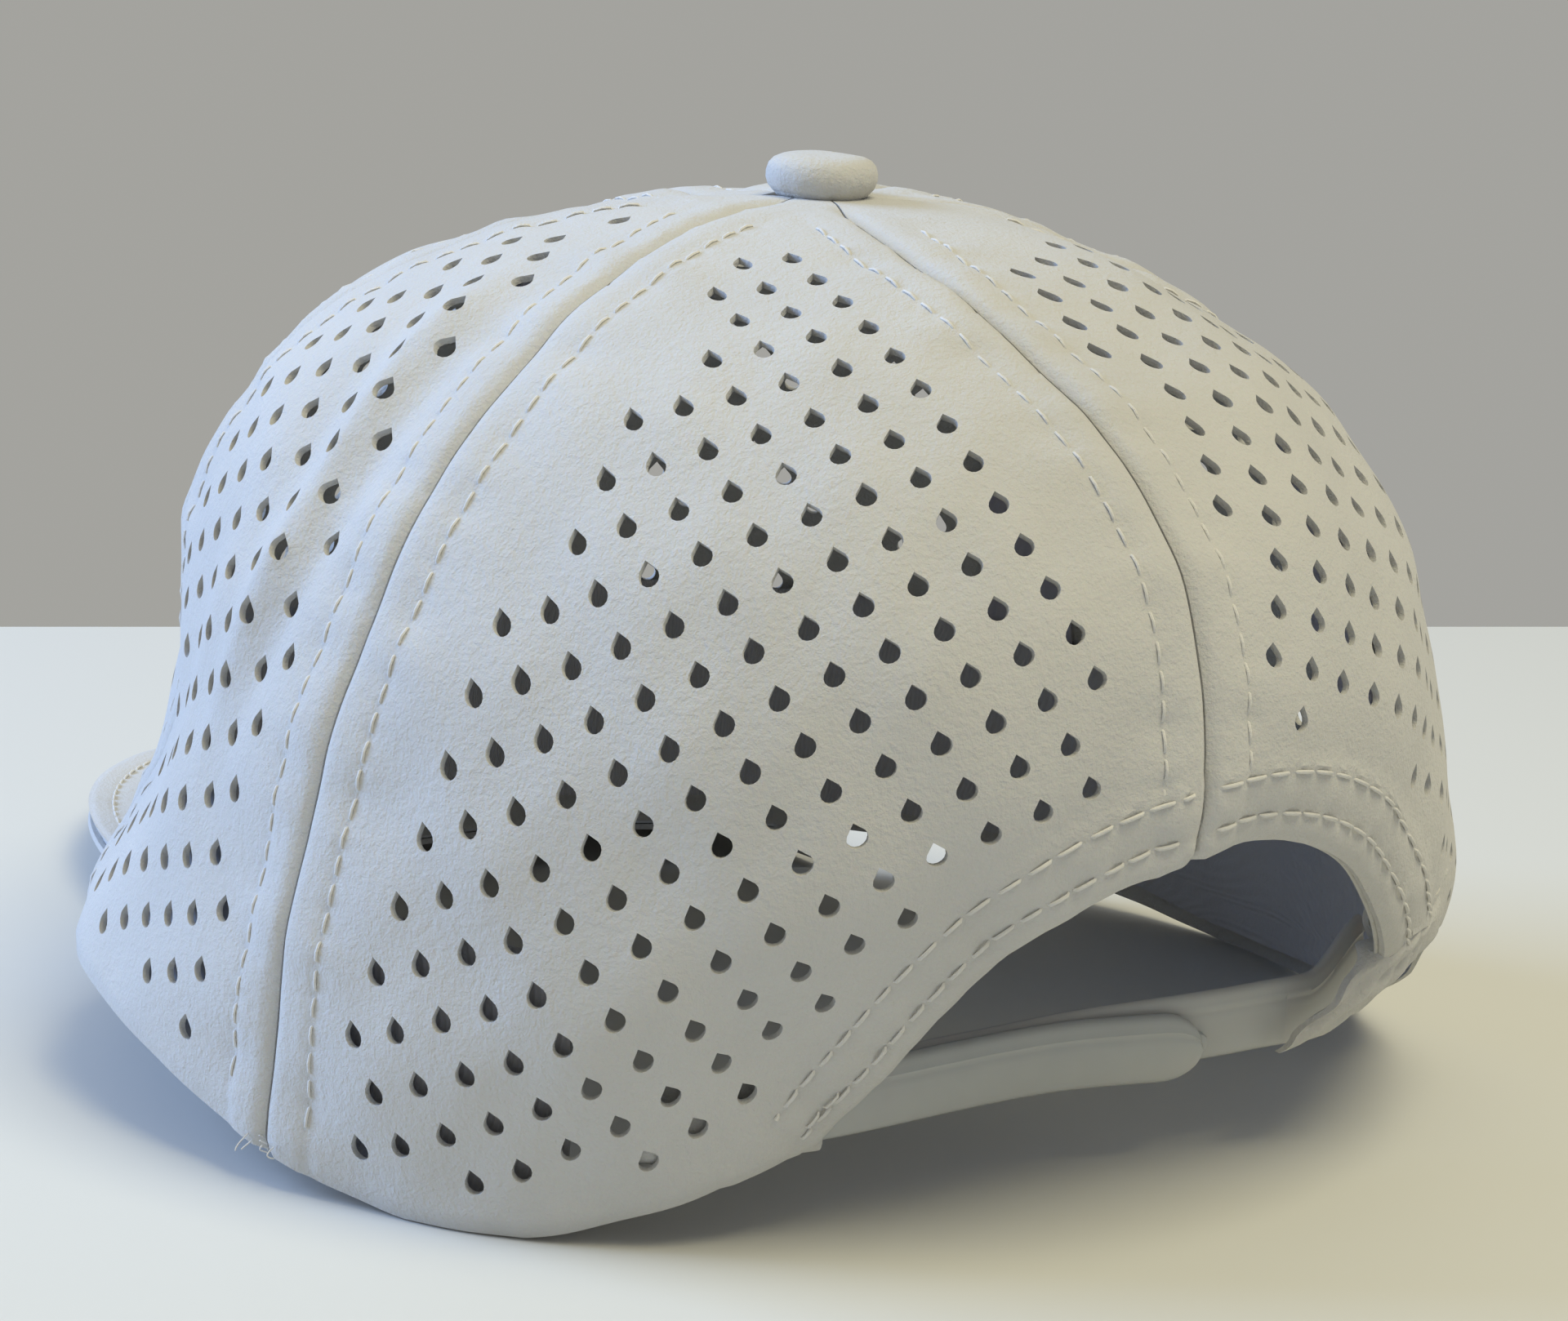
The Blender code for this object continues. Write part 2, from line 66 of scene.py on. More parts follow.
RIM_LIFT_SIDE_LEFT = 0.0176
RIM_LIFT_SIDE_RIGHT = 0.0050
RIM_LIFT_SIDE_AT_LEFT = 108.0
RIM_LIFT_SIDE_AT_RIGHT = 126.0
RIM_LIFT_SIDE_SPAN = 29.0
RIM_LIFT_FRONT = 0.0100
RIM_REST = 0.0026
RIM_LIFT_CORNER = 0.0180
RIM_LIFT_CORNER_AT = -54.0
RIM_LIFT_CORNER_SPAN = 18.0
SIDE_PINCH = 0.0070
SIDE_PINCH_AT = 118.0
SIDE_PINCH_SPAN = 16.0
SIDE_PINCH_T = 0.872
SIDE_PINCH_T_SPAN = 0.115
REAR_SEAM = 75.5
REAR_SEAM_SWEEP = 4.6
REAR_SEAM_SWEEP_SPAN = 25.0
FRONT_SEAM = 122.0
SEAMS = (0.0, REAR_SEAM, FRONT_SEAM, 180.0, -FRONT_SEAM, -REAR_SEAM)
CLOTH = 0.0009
UP = np.array((0.0, 0.0, 1.0))

OPENING_CENTRE = -6.5
OPENING_HALF_ANGLE = 29.0
OPENING_FOOT_LEFT = 9.0
OPENING_FOOT_RIGHT = 6.0
OPENING_TOP = 0.820
OPENING_POWER_LEFT = 1.2
OPENING_POWER_RIGHT = 1.7
OPENING_RADIUS = 0.072
SEAM_LENGTH = 0.150

TOP_T = 0.022
SEAM_GAP = 0.0003
STITCH_OFFSET = 0.0060
STITCH_PITCH = 0.0034
STITCH_LENGTH = 0.0027
HEM_ROWS = (0.0038, 0.0090)
HEM_THREAD_RADIUS = 0.00026
BACK_SEAM_LEAN = 22.4
SIDE_SEAM_LEAN = -4.2

STRAP_MID_Z = 0.0160
STRAP_HEIGHT = 0.0088
STRAP_THICKNESS = 0.0016
HOLE_STRAP_DEPTH = 0.0045
PEG_STRAP_DEPTH = 0.0066
HOLE_STRAP_ROOT_ANGLE = 22.2
HOLE_STRAP_TIP_ANGLE = -19.5
PEG_STRAP_ROOT_ANGLE = -30.2
PEG_STRAP_TIP_ANGLE = 20.6
HOLE_STRAP_SEWN_ANGLE = 33.0
PEG_STRAP_SEWN_ANGLE = -41.0
SEWN_OVERLAP = 0.4
PEG_STRAP_RISE = 0.0022
STRAP_RADIUS = 0.0735
PEG_FIRST = 2.6
PEG_FIRST_RUN = 0.004
PEG_PITCH = 0.0080
PEG_COUNT = 8

SWEATBAND_ANGLES = (51.0, 303.0)
SWEATBAND_T = 0.9195
SWEATBAND_HALF_T = 0.0735

VISOR_ROOT_ANGLE = 145.0
VISOR_HALF_WIDTH = 0.0565
VISOR_ROOT_Y = -0.0720
VISOR_TIP_Y = -0.1535
VISOR_BOARD = 0.0016
VISOR_COVER = 0.0006
VISOR_GAP = 0.00045
VISOR_TILT = 0.0036
VISOR_STITCH_INSET = 0.0055
BUTTON_RADIUS = 0.0072
BUTTON_HEIGHT = 0.0050

HOLE_PITCH = 0.0064
HOLE_ROW_TILT = 22.1
HOLE_COLUMN_TILT = 30.9
HOLE_RADIUS = 0.00124
HOLE_TIP = 0.00192
RING_GROWTH = 0.00030
EDGE_ROWS = (0.0004, 0.0008, 0.0014, 0.0024, 0.0038)
ROW_SPACING = 0.00085
FIELD_SPACING = 0.0020


# ---------------------------------------------------------------- crown surface
def wrap(degrees):
    return (degrees + 180.0) % 360.0 - 180.0


def smooth(low, high, value):
    share = np.clip((value - low) / (high - low), 0.0, 1.0)
    return share * share * (3.0 - 2.0 * share)


def bell(value, middle, width):
    return np.exp(-(((value - middle) / width) ** 2))


def rim_height(angle):
    turned = wrap(angle)
    from_back = abs(turned)
    on_left = turned > 0
    span = np.where(on_left, RIM_LIFT_REAR_SPAN_LEFT, RIM_LIFT_REAR_SPAN_RIGHT)
    side_at = np.where(on_left, RIM_LIFT_SIDE_AT_LEFT, RIM_LIFT_SIDE_AT_RIGHT)
    rear = RIM_LIFT_REAR * np.exp(-((from_back / span) ** 4))
    most = np.where(on_left, RIM_LIFT_SIDE_LEFT, RIM_LIFT_SIDE_RIGHT)
    side = most * bell(from_back, side_at, RIM_LIFT_SIDE_SPAN)
    front = RIM_LIFT_FRONT * np.maximum(0.0, -np.cos(np.radians(angle))) ** 2
    return np.maximum(0.0, rear + side + front - RIM_REST)


def corner_lift(angle):
    """How far the strap has drawn up the rim behind the wearer's right ear."""
    return RIM_LIFT_CORNER * bell(wrap(angle), RIM_LIFT_CORNER_AT, RIM_LIFT_CORNER_SPAN)


def crown(angle, t):
    """Points on the outside of the smooth crown, about the crown's own middle."""
    angle, t = np.broadcast_arrays(np.asarray(angle, float), np.asarray(t, float))
    from_seam = (abs(wrap(angle)) - REAR_SEAM) / REAR_SEAM_SWEEP_SPAN
    sweep = REAR_SEAM_SWEEP * np.maximum(0.0, (t - 0.4) / 0.6) ** 1.3
    angle = angle + np.copysign(sweep * np.exp(-(from_seam**2)), wrap(angle))
    s, c = np.sin(np.radians(angle)), np.cos(np.radians(angle))
    depth = np.where(c > 0, BACK_DEPTH, FRONT_DEPTH)
    radius = ((s / HALF_WIDTH) ** 2 + (c / depth) ** 2) ** -0.5
    power = DOME_POWER + DOME_POWER_FRONT * np.maximum(0.0, -c) + DOME_POWER_SIDE * s * s
    turn = np.clip(t, 1e-6, 1.0) * math.pi / 2
    out = np.sin(turn) ** (2.0 / power)
    up = np.maximum(np.cos(turn), 0.0) ** (2.0 / power)
    from_back = abs(wrap(angle))
    low = np.clip((0.55 - up) / 0.55, 0.0, 1.0) ** 2
    on_left = wrap(angle) > 0
    tuck_span = np.where(on_left, REAR_TUCK_SPAN_LEFT, REAR_TUCK_SPAN_RIGHT)
    tuck = np.exp(-((from_back / tuck_span) ** 2)) * (1 - up) ** REAR_TUCK_POWER
    reach = radius * out + SIDE_FLARE * bell(from_back, SIDE_FLARE_AT, SIDE_FLARE_SPAN) * low
    pinch = bell(wrap(angle), SIDE_PINCH_AT, SIDE_PINCH_SPAN) * bell(t, SIDE_PINCH_T, SIDE_PINCH_T_SPAN)
    reach = reach - REAR_TUCK * tuck - SIDE_PINCH * pinch * (1.0 - t**24)
    rim = rim_height(angle)
    height = rim + (CROWN_HEIGHT - rim) * up + corner_lift(angle) * (1.0 - up) ** 3
    points = (reach * s, reach * c + APEX_SHIFT_Y * (1 - out), height)
    return np.stack(points, axis=-1)


def crown_normal(angle, t):
    angle, t = np.broadcast_arrays(np.asarray(angle, float), np.asarray(t, float))
    across = crown(angle + 0.5, t) - crown(angle - 0.5, t)
    down = crown(angle, np.minimum(t + 0.004, 1.0)) - crown(angle, np.maximum(t - 0.004, 0.002))
    normal = np.cross(across, down)
    return normal / np.linalg.norm(normal, axis=-1, keepdims=True)


def seam_at(seam, t):
    """Where a seam runs at this t: the stitched lines lean a little near the crown's top."""
    if seam == 0.0:
        return seam + BACK_SEAM_LEAN * np.exp(-((np.asarray(t) / 0.33) ** 2))
    if seam == REAR_SEAM:
        return seam + SIDE_SEAM_LEAN * np.exp(-((np.asarray(t) / 0.45) ** 2))
    return seam + 0.0 * np.asarray(t)


def seam_distance(angle, t, points):
    """Distance along the cloth to the nearest seam, and how far down it that is."""
    reach = np.hypot(points[..., 0], points[..., 1])
    gaps = np.stack([abs(wrap(angle - seam_at(seam, t))) for seam in SEAMS])
    nearest = gaps.argmin(axis=0)
    along = np.zeros_like(reach)
    for k, seam in enumerate(SEAMS):
        along = np.where(nearest == k, run_down(seam, t), along)
    return np.radians(gaps.min(axis=0)) * reach, along


def run_down(seam, t):
    """Length along a seam from the crown's top to this t."""
    if seam not in SEAM_RUNS:
        ts = np.linspace(0.01, 1.0, 200)
        line = crown(seam_at(seam, ts), ts)
        steps = np.linalg.norm(np.diff(line, axis=0), axis=1)
        SEAM_RUNS[seam] = ts, np.concatenate([[0.0], np.cumsum(steps)])
    return np.interp(t, *SEAM_RUNS[seam])


SEAM_RUNS = {}
WAVES = [
    # turns per metre along x, y and z, phase, height
    (31.0, 12.0, 24.0, 0.4, 0.00026),
    (-17.0, 29.0, 19.0, 2.1, 0.00022),
    (8.0, -23.0, 41.0, 4.4, 0.00018),
    (52.0, 31.0, -27.0, 1.3, 0.00011),
    (-44.0, 47.0, 38.0, 5.2, 0.00009),
    (71.0, -58.0, 49.0, 3.3, 0.00006),
]


DENTS = [
    # height; middle, spread and lean of its angle; middle and spread of its t
    (0.0006, 125.0, 20.0, 0.0, 0.54, 0.08),
    (-0.0028, 148.0, 34.0, 0.0, 0.20, 0.155),
    (-0.0016, 176.0, 26.0, 0.0, 0.11, 0.06),
    (-0.0024, -64.0, 14.0, 0.0, 0.235, 0.075),
    (-0.0030, -47.0, 18.0, 0.0, 0.76, 0.11),
    (-0.0012, 103.7, 3.4, 16.0, 0.80, 0.11),
    (-0.0010, -96.92, 4.0, 9.0, 0.62, 0.20),
    (0.0007, -91.42, 3.0, 9.0, 0.62, 0.20),
    (-0.0007, 30.0, 9.0, 0.0, 0.93, 0.06),
    (0.0006, 66.0, 6.0, 0.0, 0.42, 0.13),
]


def sway(angle, t, points):
    """The soft shape of the cloth: broad waves, dents and pleats."""
    reach = np.hypot(points[..., 0], points[..., 1])
    soft = np.zeros_like(reach)
    for x, y, z, phase, size in WAVES:
        turns = x * points[..., 0] + y * points[..., 1] + z * points[..., 2]
        soft += size * np.sin(2 * math.pi * turns + phase)
    return soft * smooth(0.012, 0.045, reach) + folds(wrap(angle), t)


def needle_dips(along):
    """Where the needle has pulled the cloth down, once per stitch."""
    return (0.5 + 0.5 * np.cos(2 * math.pi * (along + 0.00035) / STITCH_PITCH)) ** 2


def relief(angle, t, points):
    """How far the real cloth stands out from the smooth crown."""
    away, along = seam_distance(angle, t, points)
    reach = np.hypot(points[..., 0], points[..., 1])
    open_cloth = smooth(0.008, 0.024, reach)
    groove = -0.00100 * np.exp(-((away / 0.0007) ** 2)) * smooth(0.005, 0.012, reach)
    ridge = 0.00034 * (1.0 - smooth(0.0046, 0.0072, away)) * open_cloth
    row = -(0.00018 + 0.00018 * needle_dips(along)) * bell(away, STITCH_OFFSET, 0.0007)
    pucker = np.sin(along * 2 * math.pi / 0.0121 + 0.7 * points[..., 0] / 0.02)
    pucker = pucker + 0.6 * np.sin(along * 2 * math.pi / 0.0073 + 1.9)
    pucker = 0.00019 * pucker * bell(away, 0.0058, 0.0042)
    return groove + ridge + (row + pucker) * open_cloth + sway(angle, t, points)


def folds(angle, t):
    """The long pleat in the wearer's left side, and the dents that soft cloth takes."""
    run = smooth(0.22, 0.44, t) * (1.0 - smooth(0.62, 0.90, t))
    wide = 1.0 / np.sin(np.clip(t, 0.15, 1.0) * math.pi / 2)
    drift = 90.6 + 1.2 * np.sin(7.0 * t) + 3.5 * smooth(0.55, 0.9, t)
    total = run * 0.0014 * bell(angle, drift, 1.6 * wide)
    total -= run * 0.0015 * bell(angle, drift - 4.0 * wide, 2.0 * wide)
    total -= run * 0.0008 * bell(angle, drift + 4.0 * wide, 2.2 * wide)
    near_rim = smooth(0.90, 1.0, t)
    total += near_rim * (0.0012 * bell(angle, 105.0, 9.0) - 0.0013 * bell(angle, 66.0, 20.0))
    for height, middle, spread, lean, t_middle, t_spread in DENTS:
        away = wrap(angle - middle - lean * (t - t_middle))
        total += height * bell(away, 0.0, spread) * bell(t, t_middle, t_spread)
    return total


def raised(angle, t, points, lift):
    """Points of the smooth crown raised along its normals, in the part's own frame."""
    return points + crown_normal(angle, t) * np.asarray(lift)[..., None] + CROWN_PLACE


def cloth(angle, t, depth=0.0, extra=0.0):
    """Points on or below the real cloth."""
    points = crown(angle, t)
    lift = relief(np.asarray(angle, float), np.asarray(t, float), points) + extra - depth
    return raised(angle, t, points, lift)


def beneath(angle, t, depth):
    """Points this far below the cloth's broad shape, without its seams and stitches."""
    points = crown(angle, t)
    lift = sway(np.asarray(angle, float), np.asarray(t, float), points) - depth
    return raised(angle, t, points, lift)


def t_at_height(angle, height):
    low, high = 0.05, 1.0
    for _ in range(30):
        middle = (low + high) / 2
        if crown(angle, middle)[2] > height:
            low = middle
        else:
            high = middle
    return (low + high) / 2


def opening_edge(turn, widen=0.0):
    """(angle, t) round the rear opening, for turns from -90 to 90 degrees."""
    turn = np.asarray(turn, float)
    half = OPENING_HALF_ANGLE + math.degrees(widen / OPENING_RADIUS)
    rise = 1.0 - OPENING_TOP + widen / SEAM_LENGTH
    foot = np.where(turn > 0, OPENING_FOOT_LEFT, -OPENING_FOOT_RIGHT) * abs(turn / 90.0) ** 6
    angle = OPENING_CENTRE + half * np.sin(np.radians(turn)) + foot
    power = np.where(turn > 0, OPENING_POWER_LEFT, OPENING_POWER_RIGHT)
    return angle, 1.0 - rise * np.maximum(0.0, np.cos(np.radians(turn))) ** power


# ---------------------------------------------------------------- flat patterns
class Pattern:
    """A panel laid flat: v runs down its middle, u runs across it."""

    def __init__(self, first, last):
        self.first, self.last = first, last
        self.t = np.linspace(TOP_T, 1.0, 150)
        self.angle = np.linspace(first - 30.0, last + 30.0, 181)
        grid = crown(self.angle[None, :], self.t[:, None])
        steps = np.linalg.norm(np.diff(grid, axis=1), axis=-1)
        run = np.concatenate([np.zeros((len(self.t), 1)), np.cumsum(steps, axis=1)], axis=1)
        self.u = run - run[:, 90:91]
        middle = grid[:, 90]
        down = np.linalg.norm(np.diff(middle, axis=0), axis=-1)
        self.v = np.concatenate([[0.0], np.cumsum(down)]) + np.hypot(*middle[0, :2])

    def stretch_at_hem(self):
        """Length down the flat pattern for each length of cloth above the opening."""
        ts = np.linspace(0.72, OPENING_TOP, 40)
        real = np.linalg.norm(np.diff(crown(0.0, ts), axis=0), axis=1).sum()
        return (np.interp(ts[-1], self.t, self.v) - np.interp(ts[0], self.t, self.v)) / real

    def flat(self, angle, t):
        angle, t = np.broadcast_arrays(np.asarray(angle, float), np.asarray(t, float))
        out = np.empty((angle.size, 2))
        for k, (a, b) in enumerate(zip(angle.ravel(), t.ravel())):
            place = np.interp(b, self.t, np.arange(len(self.t)))
            row = int(min(place, len(self.t) - 2))
            share = place - row
            line = self.u[row] * (1 - share) + self.u[row + 1] * share
            out[k] = np.interp(a, self.angle, line), np.interp(b, self.t, self.v)
        return out

    def worn(self, flat):
        """(angle, t) of points of the flat pattern."""
        angle, t = np.empty(len(flat)), np.empty(len(flat))
        places = np.interp(flat[:, 1], self.v, np.arange(len(self.t)))
        for k, (u, place) in enumerate(zip(flat[:, 0], places)):
            row = int(min(place, len(self.t) - 2))
            share = place - row
            line = self.u[row] * (1 - share) + self.u[row + 1] * share
            angle[k] = np.interp(u, line, self.angle)
            t[k] = self.t[row] * (1 - share) + self.t[row + 1] * share
        return angle, t


def along_line(line, spacing):
    """Points at even spacing along a polyline, both ends kept."""
    steps = np.linalg.norm(np.diff(line, axis=0), axis=1)
    run = np.concatenate([[0.0], np.cumsum(steps)])
    count = max(2, int(round(run[-1] / spacing)) + 1)
    places = np.linspace(0.0, run[-1], count)
    return np.stack([np.interp(places, run, line[:, k]) for k in range(line.shape[1])], axis=1)


def nearest_on(points, line):
    """Distance from each point to a polyline in the flat, and how far along it that is."""
    best, place, run = np.full(len(points), 1e9), np.zeros(len(points)), 0.0
    for a, b in zip(line[:-1], line[1:]):
        way = b - a
        length = max(math.sqrt(way @ way), 1e-9)
        share = np.clip(((points - a) @ way) / length**2, 0.0, 1.0)
        gap = np.linalg.norm(points - a - share[:, None] * way, axis=1)
        place = np.where(gap < best, run + share * length, place)
        best = np.minimum(best, gap)
        run += length
    return best, place


def distance_to(points, line):
    return nearest_on(points, line)[0]


def inside(points, loop):
    """Which points lie inside a closed loop."""
    found = np.zeros(len(points), bool)
    x, y = points[:, 0], points[:, 1]
    for (x0, y0), (x1, y1) in zip(loop, np.roll(loop, -1, axis=0)):
        crosses = (y0 > y) != (y1 > y)
        if y1 != y0:
            found ^= crosses & (x < (x1 - x0) * (y - y0) / (y1 - y0) + x0)
    return found


def teardrop(grow=0.0, steps=11):
    """A hole's outline, round at one end and pointed at the other (toward +y)."""
    turns = np.radians(np.linspace(-212.0, 32.0, steps))
    radius = HOLE_RADIUS + grow
    arc = np.stack([radius * np.cos(turns), radius * np.sin(turns)], axis=1)
    return np.concatenate([arc, [[0.0, HOLE_TIP + grow * 1.3]]])


def panel_lines(pattern, back_side):
    """The flat pattern's seam edges, rim and, beside the opening, its part of the arch.

    back_side is 1 or -1 for the panels left and right of the opening, 0 for the others.
    """
    end = arch_t_at(0.0)
    ends = (end if back_side > 0 else 1.0, end if back_side < 0 else 1.0)
    edges = []
    for seam, stop in zip((pattern.first, pattern.last), ends):
        ts = np.linspace(TOP_T, stop, 90)
        edges.append(pattern.flat(seam_at(seam, ts), ts))
    first, last = edges
    first[:, 0] += SEAM_GAP / 2
    last[:, 0] -= SEAM_GAP / 2
    if not back_side:
        rim = pattern.flat(np.linspace(pattern.first, pattern.last, 60), 1.0)
        return first, last, rim, None
    turns = np.linspace(0.0, 90.0 * back_side, 181)
    angle, ts = opening_edge(turns)
    keep = angle * back_side >= 0.0
    angle = np.concatenate([[0.0], angle[keep]])
    ts = np.concatenate([[end], ts[keep]])
    if back_side < 0:
        middle = opening_edge(np.linspace(0.0, 90.0, 181))
        between = middle[0] < 0.0
        angle = np.concatenate([[0.0], middle[0][between][::-1], angle[1:]])
        ts = np.concatenate([[end], middle[1][between][::-1], ts[1:]])
    arch = pattern.flat(angle, ts)
    arch[0] = first[-1] if back_side > 0 else last[-1]
    far = pattern.last if back_side > 0 else pattern.first
    rim = pattern.flat(np.linspace(angle[-1], far, 50), 1.0)
    return first, last, rim, arch


def arch_t_at(angle):
    """t of the arch's edge at this angle."""
    turned, ts = opening_edge(np.linspace(-90, 90, 721))
    return float(np.interp(angle, turned, ts, left=1.0, right=1.0))


def outline_runs(lines):
    """The outline as a chain of lines, each starting where the last one ended."""
    first, last, rim, arch = lines
    top = np.stack([last[0], first[0]])
    if arch is None:
        return [first, rim, last[::-1], top]
    if np.allclose(arch[0], first[-1]):
        return [first, arch, rim, last[::-1], top]
    return [first, rim[::-1], arch[::-1], last[::-1], top]


def outline_loop(lines):
    return np.concatenate([line[:-1] for line in outline_runs(lines)])


def hole_places(pattern, lines, margins, mirrored, tilt):
    """Centres of the punched holes that fit inside the panel's margins."""
    first, last, rim, arch = lines
    flip = -1.0 if mirrored else 1.0
    row = math.radians(HOLE_ROW_TILT + tilt)
    column = math.radians(HOLE_COLUMN_TILT + tilt)
    across = np.array((-math.cos(row) * flip, -math.sin(row))) * HOLE_PITCH
    down = np.array((-math.sin(column) * flip, math.cos(column))) * HOLE_PITCH
    reach = np.arange(-30, 31)
    i, j = np.meshgrid(reach, reach)
    start = np.array((margins["start"][0] * flip, margins["start"][1]))
    centres = start + i.ravel()[:, None] * across + j.ravel()[:, None] * down
    keep = (centres[:, 1] > margins["top"]) & (centres[:, 1] < pattern.v[-1])
    centres = centres[keep]
    loop = outline_loop(lines)
    centres = centres[inside(centres, loop)]
    low = smooth(0.110, 0.155, centres[:, 1])
    high = 1.0 - smooth(0.030, 0.060, centres[:, 1])
    for side, edge in (("first", first), ("last", last)):
        least = margins[side] + low * margins.get(f"{side}_low", 0.0)
        least += high * (0.0098 - margins[side])
        near = distance_to(centres, edge) < least
        centres, low, high = centres[~near], low[~near], high[~near]
    keep = distance_to(centres, rim) > margins["rim"]
    if arch is not None:
        keep &= distance_to(centres, arch) > margins["arch"]
    way = (across - down) / np.linalg.norm(across - down)
    return centres[keep], way


def offset_rows(line, offsets, spacing, loop, inward):
    """Rows of points beside a line, inside the outline."""
    rows = []
    for offset in offsets:
        fine = along_line(line, spacing)
        way = np.gradient(fine, axis=0)
        way /= np.maximum(np.linalg.norm(way, axis=1, keepdims=True), 1e-12)
        side = np.stack([-way[:, 1], way[:, 0]], axis=1) * inward
        points = fine + side * offset
        keep = inside(points, loop) & (distance_to(points, line) > offset * 0.97)
        rows.append(points[keep])
    return np.concatenate(rows)


def thin(points, fixed, gap):
    """Points that keep this distance from the fixed ones and from each other."""
    cells = {}
    for x, y in fixed:
        cells.setdefault((int(x // gap), int(y // gap)), []).append((x, y))
    kept = []
    for x, y in points:
        cx, cy = int(x // gap), int(y // gap)
        near = False
        for dx in (-1, 0, 1):
            for dy in (-1, 0, 1):
                for px, py in cells.get((cx + dx, cy + dy), ()):
                    if (px - x) ** 2 + (py - y) ** 2 < gap * gap:
                        near = True
        if not near:
            kept.append((x, y))
            cells.setdefault((cx, cy), []).append((x, y))
    return np.array(kept).reshape(-1, 2)


def rows_beside(edges, back_side, stretch, loop):
    """Points in rows beside the outline, denser along seams and stitched rows."""
    inward = 1.0 if signed_area(loop) > 0 else -1.0
    rows = [offset_rows(edge, EDGE_ROWS, 0.0015, loop, inward) for edge in edges]
    for edge in (edges[0], edges[-2]):
        near = (STITCH_OFFSET - 0.0007, STITCH_OFFSET, STITCH_OFFSET + 0.0007)
        rows.append(offset_rows(edge, near, ROW_SPACING, loop, inward))
        rows.append(offset_rows(edge, (0.0078,), 0.0015, loop, inward))
    if back_side:
        arch_edge = edges[1] if back_side > 0 else edges[2]
        for row in HEM_ROWS:
            near = (row * stretch - 0.0007, row * stretch, row * stretch + 0.0007)
            rows.append(offset_rows(arch_edge, near, ROW_SPACING, loop, inward))
        far = (0.0063 * stretch, 0.0098 * stretch, 0.0106 * stretch)
        rows.append(offset_rows(arch_edge, far, 0.0013, loop, inward))
    return np.concatenate(rows)


def field_points(loop):
    """Points of a triangular grid inside the outline."""
    us = np.arange(loop[:, 0].min(), loop[:, 0].max(), FIELD_SPACING)
    vs = np.arange(loop[:, 1].min(), loop[:, 1].max(), FIELD_SPACING * 0.866)
    gu, gv = np.meshgrid(us, vs)
    gu = gu + (np.arange(len(vs)) % 2)[:, None] * FIELD_SPACING / 2
    field = np.stack([gu.ravel(), gv.ravel()], axis=1)
    return field[inside(field, loop)]


def perforated_panel(name, first, last, back_side, margins, mirrored, tilt):
    """One panel cut from flat cloth with its punched holes, then shaped over the crown."""
    pattern = Pattern(first, last)
    stretch = pattern.stretch_at_hem()
    lines = panel_lines(pattern, back_side)
    edges = [along_line(line, 0.0017) for line in outline_runs(lines)]
    loop = np.concatenate([edge[:-1] for edge in edges])
    centres, way = hole_places(pattern, lines, margins, mirrored, tilt)
    turn = np.array(((way[1], way[0]), (-way[0], way[1])))
    holes = [centre + teardrop() @ turn for centre in centres]
    rings = [centre + teardrop(RING_GROWTH) @ turn for centre in centres]
    fixed = np.concatenate([loop, *holes, *rings])
    fine = thin(rows_beside(edges, back_side, stretch, loop), fixed, 0.00042)
    field = thin(field_points(loop), np.concatenate([fixed, fine]), 0.00115)
    free = np.concatenate([fine, field])
    for centre in centres:
        free = free[np.hypot(*(free - centre).T) > HOLE_TIP + RING_GROWTH]
    points, triangles = cut(loop, holes, rings, free)
    angle, t = pattern.worn(points)
    extra = -0.0006 * np.exp(-((distance_to(points, lines[2]) / 0.0007) ** 2))
    if back_side:
        extra += hem_relief(points, lines[3], stretch)
        HEMS[name] = pattern, lines[3], loop, stretch
    outer = cloth(angle, t, 0.0, extra)
    inner = cloth(angle, t, CLOTH, np.maximum(extra, -0.0003))
    return solid_sheet(name, outer, inner, triangles)


HEMS = {}


def hem_relief(points, arch, stretch):
    """The double thickness round the opening, drawn down along its two stitched rows."""
    gap, along = nearest_on(points, arch)
    gap = gap / stretch
    height = 0.00055 * (1.0 - smooth(0.0096, 0.0108, gap))
    for row in HEM_ROWS:
        height -= (0.00022 + 0.00020 * needle_dips(along)) * bell(gap, row, 0.0007)
    height += 0.00022 * np.sin(along * 2 * math.pi / 0.0092) * bell(gap, 0.0064, 0.0024)
    height += 0.00016 * np.sin(along * 2 * math.pi / 0.0057 + 1.0) * bell(gap, 0.0025, 0.0025)
    return height - 0.0008 * np.exp(-((gap / 0.0006) ** 2))


def signed_area(loop):
    x, y = loop[:, 0], loop[:, 1]
    return 0.5 * np.sum(x * np.roll(y, -1) - np.roll(x, -1) * y)


def cut(loop, holes, rings, free):
    """Triangles that fill the outline and leave out the holes."""
    points = np.concatenate([loop, *holes, *rings, free])
    edges = [(k, (k + 1) % len(loop)) for k in range(len(loop))]
    at = len(loop)
    size = len(holes[0])
    for k in range(len(holes) * 2):
        edges += [(at + i, at + (i + 1) % size) for i in range(size)]
        at += size
    vectors = [Vector((x * 1000.0, y * 1000.0)) for x, y in points]
    found = geometry.delaunay_2d_cdt(vectors, edges, [], 0, 1e-7)
    made = np.array([tuple(v) for v in found[0]]) / 1000.0
    source = np.array([ids[0] if ids else -1 for ids in found[3]])
    assert (source >= 0).all()
    triangles = source[np.array([tuple(face) for face in found[2]])]
    middle = made[np.array([tuple(face) for face in found[2]])].mean(axis=1)
    keep = inside(middle, loop)
    owner = np.full(len(points), -1)
    owner[len(loop) : len(loop) + len(holes) * size] = np.repeat(np.arange(len(holes)), size)
    own = owner[triangles]
    keep &= ~((own[:, 0] >= 0) & (own[:, 0] == own[:, 1]) & (own[:, 1] == own[:, 2]))
    return points, triangles[keep]


